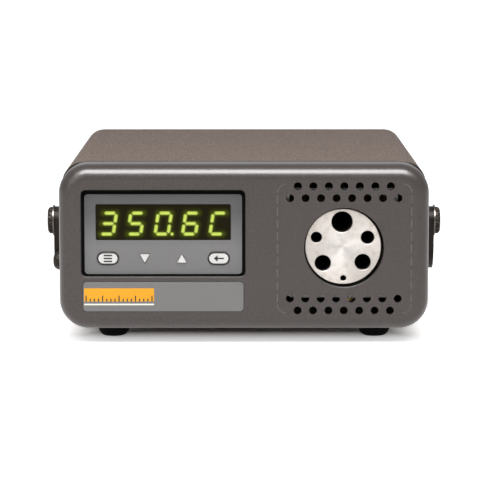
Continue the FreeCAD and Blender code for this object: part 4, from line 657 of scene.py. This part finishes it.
def reading_layout(display):
    """Places of the lit bars and points in the window: (x, z, length, turn) rows and (x, z) rows."""
    low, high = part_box("display_window")
    centre = (low + high) / 2
    lean = math.tan(display.lean)
    half_width, half_height = display.sign_width / 2, display.sign_height / 2
    flat = (display.sign_width - display.bar_gap, 0.0)
    upright = (half_height - display.bar_gap, math.pi / 2 - display.lean)
    spots = ((0, 1), (-1, 0.5), (1, 0.5), (0, 0), (-1, -0.5), (1, -0.5), (0, -1))
    bars = [(dx * half_width, dz * half_height, upright if dx else flat) for dx, dz in spots]
    count = len(display.reading.replace(".", ""))
    middle_z = centre.z - display.sign_drop
    x = centre.x - (count + 1) / 2 * display.sign_pitch
    lit, dots = [], []
    for sign in display.reading:
        if sign == ".":
            dots.append((x + half_width + display.dot_offset - half_height * lean, middle_z - half_height))
            continue
        x += display.sign_pitch
        for on, (dx, dz, (length_of, turn)) in zip(SIGNS[sign], bars):
            if on == "1":
                lit.append((x + dx + dz * lean, middle_z + dz, length_of, turn))
    return lit, dots


def distance_to_bar(x, z, lit):
    """How far a point of the window is from a lit bar's centre line."""
    bar_x, bar_z, length_of, turn = lit
    along = (x - bar_x) * math.cos(turn) + (z - bar_z) * math.sin(turn)
    across = (z - bar_z) * math.cos(turn) - (x - bar_x) * math.sin(turn)
    return math.hypot(max(0.0, abs(along) - length_of / 2), across)


def number(name, description, value, unit="NONE"):
    """A property that holds a number."""
    return FloatProperty(name=name, description=description, default=value, unit=unit)


def length(name, description, millimetres):
    """A property that holds a length."""
    return number(name, description, millimetres * MM, "LENGTH")


def angle(name, description, degrees):
    """A property that holds an angle."""
    return number(name, description, math.radians(degrees), "ROTATION")


def whole(name, description, value):
    """A property that holds a whole number."""
    return IntProperty(name=name, description=description, default=value)


def tint(name, *colour):
    """A property that holds a colour."""
    description = f"Colour of the {name.lower()}"
    return FloatVectorProperty(
        name=name, description=description, default=colour, subtype="COLOR", min=0.0, max=1.0)


class HeaterColours(bpy.types.PropertyGroup):
    """Colours of the heater's finishes."""

    bezel: tint("Bezel paint", 0.04, 0.032, 0.0295)
    cover: tint("Cover powder coat", 0.145, 0.105, 0.084)
    strap: tint("Handle paint", 0.018, 0.0125, 0.0098)
    blackened: tint("Blackened steel", 0.02, 0.0155, 0.0125)
    plated: tint("Plated steel", 0.75, 0.73, 0.7)
    # Also used as painted shade on the front frame behind the vents.
    dulled: tint("Dull plating", 0.14, 0.13, 0.12)
    black: tint("Black plastic", 0.005, 0.005, 0.005)
    rubber: tint("Foot rubber", 0.003, 0.003, 0.003)
    dust: tint("Dust on the rubber", 0.06, 0.057, 0.053)
    panel: tint("Display panel", 0.13, 0.127, 0.127)
    label: tint("Label plate", 0.132, 0.129, 0.127)
    key: tint("Keys", 0.49, 0.476, 0.464)
    block: tint("Block", 0.53, 0.5, 0.477)
    scorch: tint("Smudges on the block", 0.3, 0.25, 0.2)
    # Colour of the painted shade in the wells.
    well: tint("Wells' insides", 0.012, 0.011, 0.01)
    board: tint("Circuit boards", 0.01, 0.09, 0.03)
    mica: tint("Support plates", 0.2, 0.15, 0.09)
    fibre: tint("Insulation", 0.7, 0.68, 0.62)
    brass: tint("Brass", 0.7, 0.5, 0.2)
    core: tint("Transformer core", 0.12, 0.11, 0.1)
    window: tint("Window tint", 0.008, 0.0065, 0.002)
    lit: tint("Lit digits", 0.71, 0.84, 0.085)
    lit_edge: tint("Edges of the lit digits", 0.16, 0.24, 0.0)
    # Colour of the painted glow in the window round the digits.
    haze: tint("Haze round the digits", 0.05, 0.07, 0.0)
    ink: tint("Printed marks", 0.01, 0.01, 0.01)
    accent: tint("Label band", 0.62, 0.27, 0.004)
    tick: tint("Light print", 0.68, 0.64, 0.56)
    floor: tint("Floor", 0.96, 0.96, 0.96)


class HeaterDisplay(bpy.types.PropertyGroup):
    """The reading, the size of its signs and the window in front of it."""

    reading: StringProperty(name="Reading", description="What the display shows", default="350.6C")
    sign_pitch: length("Sign pitch", "From sign to sign", 9.25)
    sign_width: length("Sign width", "Between the upright bars", 4.4)
    sign_height: length("Sign height", "Between the end bars", 7.1)
    sign_drop: length("Sign drop", "Below the window's middle", 0.5)
    bar_width: length("Bar width", "Thickness of a bar", 1.3)
    bar_gap: length("Bar gap", "Left free at a bar's ends", 0.35)
    bar_rise: length("Bar rise", "Height of a bar on the window", 0.05)
    dot_offset: length("Point offset", "Right of the sign", 1.3)
    dot_radius: length("Point radius", "Radius of the point", 0.62)
    lean: angle("Lean", "How far the signs lean", 9.0)
    glow_reach: length("Glow reach", "How far the haze spreads", 1.0)
    corner: length("Corner", "Radius of the window's corners", 0.5)
    cell: length("Window grid", "Grid of the window's face", 0.35)


class HeaterPrints(bpy.types.PropertyGroup):
    """Sizes of the printed marks."""

    ink: length("Ink", "Thickness of printed marks", 0.02)
    rim_start: length("Rim start", "Outside of the keys' rim, from their edge", 1.0)
    rim_end: length("Rim end", "Inside of the keys' rim, from their edge", 1.35)
    bar_length: length("Bar length", "Length of the bars on the left key", 2.8)
    bar_height: length("Bar height", "Height of the bars and of the arrow's stem", 0.5)
    bar_pitch: length("Bar pitch", "From bar to bar on the left key", 1.0)
    arrow_length: length("Arrow length", "Arrow on the right key", 3.4)
    arrow_head: length("Arrow head", "Height of its head", 2.2)
    band_width: length("Band width", "Band on the label", 23.6)
    band_height: length("Band height", "Band on the label", 4.5)
    band_inset: length("Band inset", "From the label's left edge", 0.3)
    band_drop: length("Band drop", "Below the label's upper edge", 2.2)
    ticks: whole("Ticks", "Ticks on the band", 17)
    tick_width: length("Tick width", "Width of a tick", 0.4)
    tick_height: length("Tick height", "Height of a short tick", 1.0)
    rule_height: length("Rule height", "Rule under the band", 0.5)
    rocker_mark: length("Rocker mark", "Height of the rocker's marks", 3.0)


class HeaterScrews(bpy.types.PropertyGroup):
    """Shape of the visible screw heads."""

    slot_width: number("Slot width", "Width of the cross, as a share of the head", 0.26)
    slot_length: number("Slot length", "Length of the cross, as a share of the head", 1.15)
    slot_depth: number("Slot depth", "Depth of the cross, as a share of the height", 0.6)
    segments: whole("Segments", "Sides of a head", 40)


class HeaterFeet(bpy.types.PropertyGroup):
    """Shape of the rubber feet."""

    rounding: length("Rounding", "Width of the rounded edge", 2.5)
    rise: length("Rise", "Height of the rounded edge", 4.0)
    bore: length("Bore", "Radius of the hole for the screw", 1.7)
    pocket: length("Pocket", "Radius of the pocket for the head", 2.9)
    depth: length("Depth", "Depth of the pocket", 2.6)
    segments: whole("Segments", "Sides of a foot", 64)


class HeaterStage(bpy.types.PropertyGroup):
    """Camera and light."""

    distance: length("Distance", "Camera to the front", 831.0)
    height: length("Height", "Camera above the floor", 142.6)
    tilt: angle("Tilt", "Camera's dip below level", 7.562)
    pan: angle("Pan", "Camera's turn to the right", 0.14)
    lens: number("Lens", "Focal length", 179.3, "CAMERA")
    top_light: number("Top light", "Power of the light overhead", 1.45, "POWER")
    front_light: number("Front light", "Power of the light in front", 5.4, "POWER")
    gloss_light: number("Gloss light", "Power of the light seen in reflections", 26.0, "POWER")
    # Glow of the floor round the case; where it fades out under the case it is a painted shadow.
    floor_glow: number("Floor glow", "Light that the floor gives off round the case", 0.45)
    sky: number("Surround", "Strength of the even light all round", 0.65)


class HEATER_OT_case_finish(bpy.types.Operator):
    """Paints the bezel, cover, handle, pivots and feet."""

    bl_idname = "heater.case_finish"
    bl_label = "Case Finish"
    slots = ("bezel_paint", "cover_powder", "strap_paint", "black_steel", "spacer_black", "foot_rubber")

    def execute(self, context):
        finish_nodes(self.slots, context.scene.heater_colours)
        return {"FINISHED"}


class HEATER_OT_front_finish(bpy.types.Operator):
    """Finishes the display panel, keys, label plate and bored block."""

    bl_idname = "heater.front_finish"
    bl_label = "Front Finish"
    slots = ("panel_grey", "key_white", "label_grey", "block_metal")

    def execute(self, context):
        finish_nodes(self.slots, context.scene.heater_colours)
        return {"FINISHED"}


class HEATER_OT_rear_finish(bpy.types.Operator):
    """Finishes the inlet, switch, jack, fan and fuses."""

    bl_idname = "heater.rear_finish"
    bl_label = "Rear Finish"
    slots = ("inlet_plastic", "fan_plastic", "fuse_glass", "brass")

    def execute(self, context):
        finish_nodes(self.slots, context.scene.heater_colours)
        return {"FINISHED"}


class HEATER_OT_inner_finish(bpy.types.Operator):
    """Finishes the boards, shield, heater and other inner pieces, and dulls a few plated ones: the pivot washers
    for their duller plating, and the front frame as painted shade behind the vents.
    """

    bl_idname = "heater.inner_finish"
    bl_label = "Inner Finish"
    slots = ("bright_steel", "housing_black", "board_green", "mica", "fibre", "core_iron")
    # The pivot washers get the duller plating as their own finish; the front frame gets it as painted shade behind
    # the vents.
    dull_nodes = ("pivot_washers", "front_frame")

    def execute(self, context):
        colours = context.scene.heater_colours
        finish_nodes(self.slots, colours)
        dull = named_finish("dull_steel", colours)
        for node in self.dull_nodes:
            NODES[node].data.materials[0] = dull
        return {"FINISHED"}


def window_mesh(display, low, high):
    """The window as a closed plate with round corners, its face in a fine grid."""
    columns, rows = round((high.x - low.x) / display.cell), round((high.z - low.z) / display.cell)

    def rounded(x, z):
        inner_x = min(max(x, low.x + display.corner), high.x - display.corner)
        inner_z = min(max(z, low.z + display.corner), high.z - display.corner)
        away = math.hypot(x - inner_x, z - inner_z)
        pull = display.corner / away if away > display.corner else 1.0
        return inner_x + (x - inner_x) * pull, inner_z + (z - inner_z) * pull

    def build(shape):
        across = [low.x + (high.x - low.x) * i / columns for i in range(columns + 1)]
        upward = [low.z + (high.z - low.z) * j / rows for j in range(rows + 1)]
        face = [level(shape, [rounded(x, z) for x in across], low.y) for z in upward]
        for lower, upper in zip(face, face[1:]):
            for i in range(columns):
                shape.faces.new((lower[i], lower[i + 1], upper[i + 1], upper[i]))
        right, left = [row[-1] for row in face[1:]], [row[0] for row in face[-2:0:-1]]
        edge = face[0] + right + face[-1][-2::-1] + left
        back = level(shape, [(point.co.x, point.co.z) for point in edge], high.y)
        skin(shape, (edge, back))
        shape.faces.new(back[::-1])

    return mesh_from("tinted_window", build)


class HEATER_OT_window(bpy.types.Operator):
    """Makes the tinted window with the painted glow of the lit digits in it."""

    bl_idname = "heater.window"
    bl_label = "Display Window"

    def execute(self, context):
        display = context.scene.heater_display
        low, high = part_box("display_window")
        mesh = window_mesh(display, low, high)
        lit, dots = reading_layout(display)
        glow = mesh.attributes.new("glow", "FLOAT", "POINT")
        in_front = low.y + 0.01 * MM
        for vertex, value in zip(mesh.vertices, glow.data):
            x, y, z = vertex.co
            bars = [distance_to_bar(x, z, one) for one in lit]
            near = min(bars + [math.hypot(x - dx, z - dz) for dx, dz in dots])
            # Painted glow: the window's face gets an emission that falls off with the distance to the nearest lit
            # bar or point.
            value.value = math.exp(-((near / display.glow_reach) ** 2)) if y < in_front else 0.0
        finish = named_finish("tinted_window", context.scene.heater_colours)
        window = new_piece(mesh, "case", finish)
        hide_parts("display_window")
        return {"FINISHED"}


class HEATER_OT_digits(bpy.types.Operator):
    """Makes the lit bars and the point of the reading."""

    bl_idname = "heater.digits"
    bl_label = "Lit Digits"

    def execute(self, context):
        display = context.scene.heater_display
        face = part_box("display_window")[0].y
        lit, dots = reading_layout(display)
        finish = named_finish("led_glow", context.scene.heater_colours)
        shoulder, core = 0.37, 0.27
        outline = [
            (-0.5, 0.0), (-shoulder, -0.5), (shoulder, -0.5), (0.5, 0.0), (shoulder, 0.5), (-shoulder, 0.5),
        ]
        spots = [
            ((x, face, z), (0.0, -turn, 0.0), (length_of, display.bar_rise, display.bar_width))
            for x, z, length_of, turn in lit
        ]
        bars = scatter("lit_bars", spots, lit_shape("lit_bar", outline, core), finish)
        new_piece(bars, "case")
        flat = (1.0, display.bar_rise / display.dot_radius, 1.0)
        spots = [((x, face, z), UNTURNED, flat) for x, z in dots]
        disc = lit_shape("lit_dot", circle(0.0, 0.0, 1.0, 20), 0.0)
        new_piece(scatter("lit_point", spots, disc, finish, display.dot_radius), "case")
        return {"FINISHED"}


def bars_sign(prints, x, z):
    """Three level bars about x, z."""
    steps = (-prints.bar_pitch, 0.0, prints.bar_pitch)
    return [bar(x, z + step, prints.bar_length, prints.bar_height) for step in steps]


def arrow_sign(prints, x, z):
    """An arrow to the left about x, z."""
    left, right = x - prints.arrow_length / 2, x + prints.arrow_length / 2
    head, stem, slope = prints.arrow_head / 2, prints.bar_height / 2, 1.2
    neck = left + head * slope
    return [[
        (left, z), (neck, z - head), (neck, z - stem), (right, z - stem),
        (right, z + stem), (neck, z + stem), (neck, z + head),
    ]]


class HEATER_OT_key_marks(bpy.types.Operator):
    """Prints a dark rim and a plain sign on the two long keys: three bars and an arrow."""

    bl_idname = "heater.key_marks"
    bl_label = "Key Marks"

    def execute(self, context):
        prints = context.scene.heater_prints
        finish = plain_plastic("key_print", context.scene.heater_colours.ink, 0.5)
        for key, sign in (("set", bars_sign), ("exit", arrow_sign)):
            low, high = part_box(f"key_{key}")
            centre, half = (low + high) / 2, (high - low) / 2
            near, far = low.y - prints.ink, low.y + prints.ink
            mark = printed(f"{key}_mark", sign(prints, centre.x, centre.z), near, far)
            new_piece(mark, f"{key}_key", finish)
            insets = (prints.rim_start, prints.rim_end)
            lines = [pill(centre.x, centre.z, half.x - inset, half.z - inset) for inset in insets]
            rim = mesh_from(f"{key}_rim", lambda shape: loop_prism(shape, *lines, near, far))
            new_piece(rim, f"{key}_key", finish)
        return {"FINISHED"}


class HEATER_OT_label_print(bpy.types.Operator):
    """Prints a plain band with ticks, and a rule under it, on the label plate."""

    bl_idname = "heater.label_print"
    bl_label = "Label Print"

    def execute(self, context):
        prints, colours = context.scene.heater_prints, context.scene.heater_colours
        low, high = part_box("label_plate")
        near, far = low.y - prints.ink, low.y + prints.ink
        left, top = low.x + prints.band_inset, high.z - prints.band_drop
        middle, foot = left + prints.band_width / 2, top - prints.band_height
        roughness, long_every = 0.4, 4

        outline = bar(middle, (top + foot) / 2, prints.band_width, prints.band_height)
        finish = plain_plastic("band_print", colours.accent, roughness)
        new_piece(printed("label_band", [outline], near, far), "case", finish)

        spots = []
        for i in range(prints.ticks):
            x = left + prints.band_width * (i + 0.5) / prints.ticks
            height = prints.tick_height * (1.0 if i % long_every else 2.0)
            spots.append(((x, low.y, foot), UNTURNED, (prints.tick_width, 2 * prints.ink, height)))
        tick = printed("one_tick", [bar(0.0, 0.5, 1.0, 1.0)], -1.0, 1.0)
        finish = plain_plastic("tick_print", colours.ink, roughness)
        new_piece(scatter("label_ticks", spots, tick, finish), "case")

        outline = bar(middle, foot - 2 * prints.rule_height, prints.band_width, prints.rule_height)
        finish = plain_plastic("rule_print", colours.tick, roughness)
        new_piece(printed("label_rule", [outline], near, far), "case", finish)
        return {"FINISHED"}


def screw_shape(screws):
    """A round head of radius and height one with a cross in it, on a plain shank, pointing up."""
    shank, shank_end, rim, crown = 0.5, -2.6, 0.35, 0.98
    steps = 6

    def head(shape):
        profile = [(shank, shank_end), (shank, 0.0), (1.0, 0.0), (1.0, rim)]
        for i in range(1, steps):
            turn = math.pi / 2 * i / steps
            profile.append((math.cos(turn) * crown, rim + (1.0 - rim) * math.sin(turn)))
        rings = lathe(shape, profile, screws.segments)
        skin(shape, rings)
        shape.faces.new(rings[0][::-1])
        top = shape.verts.new((0.0, 0.0, 1.0))
        for i, point in enumerate(rings[-1]):
            shape.faces.new((point, rings[-1][(i + 1) % screws.segments], top))

    def cross(shape):
        long, wide, above = screws.slot_length / 2, screws.slot_width / 2, 1.4
        floor = (0.75 * long, 0.7 * wide, 1.0 - screws.slot_depth)
        for turn in (0.0, math.pi / 2):
            spin = Matrix.Rotation(turn, 3, "Z")
            rings = [
                [shape.verts.new(spin @ Vector((sx * x, sy * y, z))) for sx, sy in CORNERS]
                for x, y, z in (floor, (long, wide, above))
            ]
            skin(shape, rings)
            shape.faces.new(rings[0][::-1])
            shape.faces.new(rings[1])

    solid = add_object("screw_head", mesh_from("screw_head", head, smooth=True))
    tool = add_object("screw_cross", mesh_from("screw_cross", cross))
    cut = solid.modifiers.new("cross", "BOOLEAN")
    cut.object = tool
    cut.operation = "DIFFERENCE"
    cut.solver = "EXACT"
    cut.use_self = True
    return applied(solid, tool)


# Head radius and height of the screws that show, and the way their heads face.
VISIBLE_SCREWS = {
    "cover_screws": (2.8 * MM, 1.3 * MM, "X"),
    "rear_panel_screws": (2.3 * MM, 1.4 * MM, "Y"),
    "fan_screws": (2.7 * MM, 1.4 * MM, "Y"),
    "foot_screws": (2.6 * MM, 1.4 * MM, "-Z"),
}


def screw_spots(node, radius, height, facing):
    """Seats of a node's four screws, read from its box, with a different turn for each cross."""
    low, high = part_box(node)
    inset = Vector((radius, radius, radius))
    near, far = low + inset, high - inset
    quarter, first_turn, next_turn = math.pi / 2, 0.3, 0.7
    if facing == "X":
        z = (low.z + high.z) / 2
        sides = ((low.x + height, -quarter), (high.x - height, quarter))
        seats = [((x, y, z), turn, "Y") for y in (near.y, far.y) for x, turn in sides]
    elif facing == "Y":
        y = high.y - height
        seats = [((x, y, z), -quarter, "X") for x in (near.x, far.x) for z in (near.z, far.z)]
    else:
        z = low.z + height
        seats = [((x, y, z), math.pi, "X") for x in (near.x, far.x) for y in (near.y, far.y)]
    spots = []
    for i, (seat, turn, axis) in enumerate(seats):
        twist = Matrix.Rotation(first_turn + next_turn * i, 3, "Z")
        turned = (Matrix.Rotation(turn, 3, axis) @ twist).to_euler("XYZ")
        spots.append((seat, tuple(turned), (1.0, 1.0, height / radius)))
    return spots


class HEATER_OT_screws(bpy.types.Operator):
    """Sets cross-headed screws in the cover, rear panel, fan and feet."""

    bl_idname = "heater.screws"
    bl_label = "Screws"

    def execute(self, context):
        finish = NODES["cover_screws"].data.materials[0]
        for node, (radius, height, facing) in VISIBLE_SCREWS.items():
            spots = screw_spots(node, radius, height, facing)
            shape = screw_shape(context.scene.heater_screws)
            mesh = scatter(node + "_cross", spots, shape, finish, radius)
            made = new_piece(mesh, "case")
            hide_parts(node)
        return {"FINISHED"}


FOOT_NODES = ("foot_front_left", "foot_front_right", "foot_rear_left", "foot_rear_right")


class HEATER_OT_feet(bpy.types.Operator):
    """Makes the four rubber feet with their rounded undersides and screw pockets."""

    bl_idname = "heater.feet"
    bl_label = "Feet"

    def execute(self, context):
        feet = context.scene.heater_feet
        boxes = [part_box(node) for node in FOOT_NODES]
        low, high = boxes[0]
        radius, top = (high.x - low.x) / 2, high.z - low.z
        steps = 10
        profile = [(feet.bore, top), (feet.bore, feet.depth), (feet.pocket, feet.depth), (feet.pocket, 0.0)]
        for i in range(steps + 1):
            turn = math.pi / 2 * i / steps
            inward, rise = feet.rounding * (1.0 - math.sin(turn)), feet.rise * (1.0 - math.cos(turn))
            profile.append((radius - inward, rise))
        profile.append((radius, top))

        def build(shape):
            rings = lathe(shape, profile, feet.segments)
            skin(shape, rings + rings[:1])

        spots = [(((a.x + b.x) / 2, (a.y + b.y) / 2, a.z), UNTURNED, (1.0, 1.0, 1.0)) for a, b in boxes]
        finish = NODES[FOOT_NODES[0]].data.materials[0]
        mesh = scatter("rubber_feet", spots, mesh_from("rubber_foot", build), finish)
        made = new_piece(mesh, "case")
        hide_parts(*FOOT_NODES)
        return {"FINISHED"}


class HEATER_OT_rocker_marks(bpy.types.Operator):
    """Prints the on and off signs on the rocker's two faces."""

    bl_idname = "heater.rocker_marks"
    bl_label = "Rocker Marks"

    def execute(self, context):
        prints = context.scene.heater_prints
        hinge = next(joint for joint in frame["joints"] if joint["name"] == "rocker_tip")
        x, z = hinge["pos_m"][0], hinge["pos_m"][2]
        tilt = -math.radians(hinge["range_deg"][0])
        upright = [point.co.y for point in NODES["power_rocker"].data.vertices if point.co.z > z + 3 * MM]
        flat, size = max(upright), prints.rocker_mark
        on_height, off_height, stroke, hole = 4.2 * MM, -4.4 * MM, 0.16, 0.34
        finish = plain_plastic("rocker_print", context.scene.heater_colours.tick, 0.45)

        def off_sign(shape):
            rings = circle(0.0, off_height, size / 2), circle(0.0, off_height, size * hole)
            loop_prism(shape, *rings, -prints.ink, prints.ink)
            lean = Matrix.Translation((x, flat, z)) @ Matrix.Rotation(tilt, 4, "X")
            bmesh.ops.transform(shape, matrix=lean, verts=shape.verts)

        outline = bar(x, z + on_height, size * stroke, size)
        on_sign = printed("rocker_on_sign", [outline], flat - prints.ink, flat + prints.ink)
        new_piece(on_sign, "rocker", finish)
        new_piece(mesh_from("rocker_off_sign", off_sign), "rocker", finish)
        return {"FINISHED"}


# Size, place and target of each light, and whether dull surfaces get its light too.
LIGHTS = {
    "top_light": ((0.6, 0.2), (0.0, -0.25, 0.34), (0.0, -0.08, 0.05), True),
    "front_light": ((1.0, 0.8), (-0.9, -1.2, 0.7), (0.0, 0.0, 0.03), True),
    "gloss_light": ((0.8, 0.45), (0.0, -0.5, 0.8), (0.0, -0.08, 0.05), False),
}


class HEATER_OT_stage(bpy.types.Operator):
    """Makes the floor, the lights and the camera."""

    bl_idname = "heater.stage"
    bl_label = "Stage"

    def execute(self, context):
        scene = context.scene
        stage = scene.heater_stage
        low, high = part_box("base_tray")
        middle, half = (low + high) / 2, (high - low) / 2
        glow_start, glow_end, floor_reach = -13 * MM, 1 * MM, 6.0

        def floor_looks(wire):
            colour = scene.heater_colours.floor
            x, y = axes(wire)[:2]
            right = wire.maths("ABSOLUTE", x - middle.x) - half.x
            back = wire.maths("ABSOLUTE", y - middle.y) - half.y
            # Painted shadow: the floor's glow is even round the case and fades out under the case's footprint, so
            # the floor is dark only under it.
            away = mask(wire.maths("MAXIMUM", right, back), glow_start, glow_end)
            return {
                "Base Color": shades(grain(wire, 0.4), colour, 0.99, 1.0),
                "Emission Color": mix(away, BLACK, shade([stage.floor_glow] * 3)),
            }

        def build(shape):
            corners = [(sx * floor_reach, sy * floor_reach, 0.0) for sx, sy in CORNERS]
            shape.faces.new([shape.verts.new(corner) for corner in corners])

        floor = add_object("floor", mesh_from("floor", build))
        finish = material("floor_white", floor_looks, Roughness=0.9, Emission_Strength=1.0)
        floor.data.materials.append(finish)

        for name, (size, spot, target, dull) in LIGHTS.items():
            light = bpy.data.lights.new(name, "AREA")
            light.shape = "RECTANGLE"
            light.size, light.size_y = size
            light.energy = getattr(stage, name)
            lamp = add_object(name, light)
            lamp.location = spot
            lamp.rotation_euler = (Vector(target) - Vector(spot)).to_track_quat("-Z", "Y").to_euler()
            lamp.visible_diffuse = dull
        world = bpy.data.worlds.new("even_light")
        world.use_nodes = True
        surround = world.node_tree.nodes["Background"]
        surround.inputs["Color"].default_value = (1.0, 1.0, 1.0, 1.0)
        surround.inputs["Strength"].default_value = stage.sky
        scene.world = world

        camera = add_object("camera", bpy.data.cameras.new("camera"))
        camera.data.lens = stage.lens
        camera.data.sensor_width = 36.0
        camera.data.clip_end = 50.0
        camera.location = (0.0, CAD_BOX[0].y - stage.distance, stage.height)
        camera.rotation_euler = (math.pi / 2 - stage.tilt, 0.0, -stage.pan)
        scene.camera = camera
        scene.view_settings.view_transform = "Standard"
        return {"FINISHED"}


OPERATORS = (
    HEATER_OT_stage,
    HEATER_OT_case_finish,
    HEATER_OT_front_finish,
    HEATER_OT_rear_finish,
    HEATER_OT_inner_finish,
    HEATER_OT_window,
    HEATER_OT_digits,
    HEATER_OT_key_marks,
    HEATER_OT_label_print,
    HEATER_OT_screws,
    HEATER_OT_feet,
    HEATER_OT_rocker_marks,
)
GROUPS = {
    "heater_colours": HeaterColours,
    "heater_display": HeaterDisplay,
    "heater_prints": HeaterPrints,
    "heater_screws": HeaterScrews,
    "heater_feet": HeaterFeet,
    "heater_stage": HeaterStage,
}


class HEATER_PT_looks(bpy.types.Panel):
    """Lists the heater's pieces and settings."""

    bl_idname = "HEATER_PT_looks"
    bl_label = "Dry Block Heater"
    bl_space_type = "VIEW_3D"
    bl_region_type = "UI"
    bl_category = "Heater"

    def draw(self, context):
        for operator in OPERATORS:
            self.layout.operator(operator.bl_idname)
        for group, kind in GROUPS.items():
            box = self.layout.box()
            for name in kind.__annotations__:
                box.prop(getattr(context.scene, group), name)


def register():
    for kind in (*GROUPS.values(), *OPERATORS, HEATER_PT_looks):
        bpy.utils.register_class(kind)
    for name, kind in GROUPS.items():
        setattr(bpy.types.Scene, name, PointerProperty(type=kind))


def unregister():
    for name in GROUPS:
        delattr(bpy.types.Scene, name)
    for kind in (HEATER_PT_looks, *OPERATORS[::-1], *list(GROUPS.values())[::-1]):
        bpy.utils.unregister_class(kind)


def main():
    """Builds everything in order."""
    register()
    for operator in OPERATORS:
        group, name = operator.bl_idname.split(".")
        getattr(getattr(bpy.ops, group), name)()


if __name__ == "__main__":
    main()
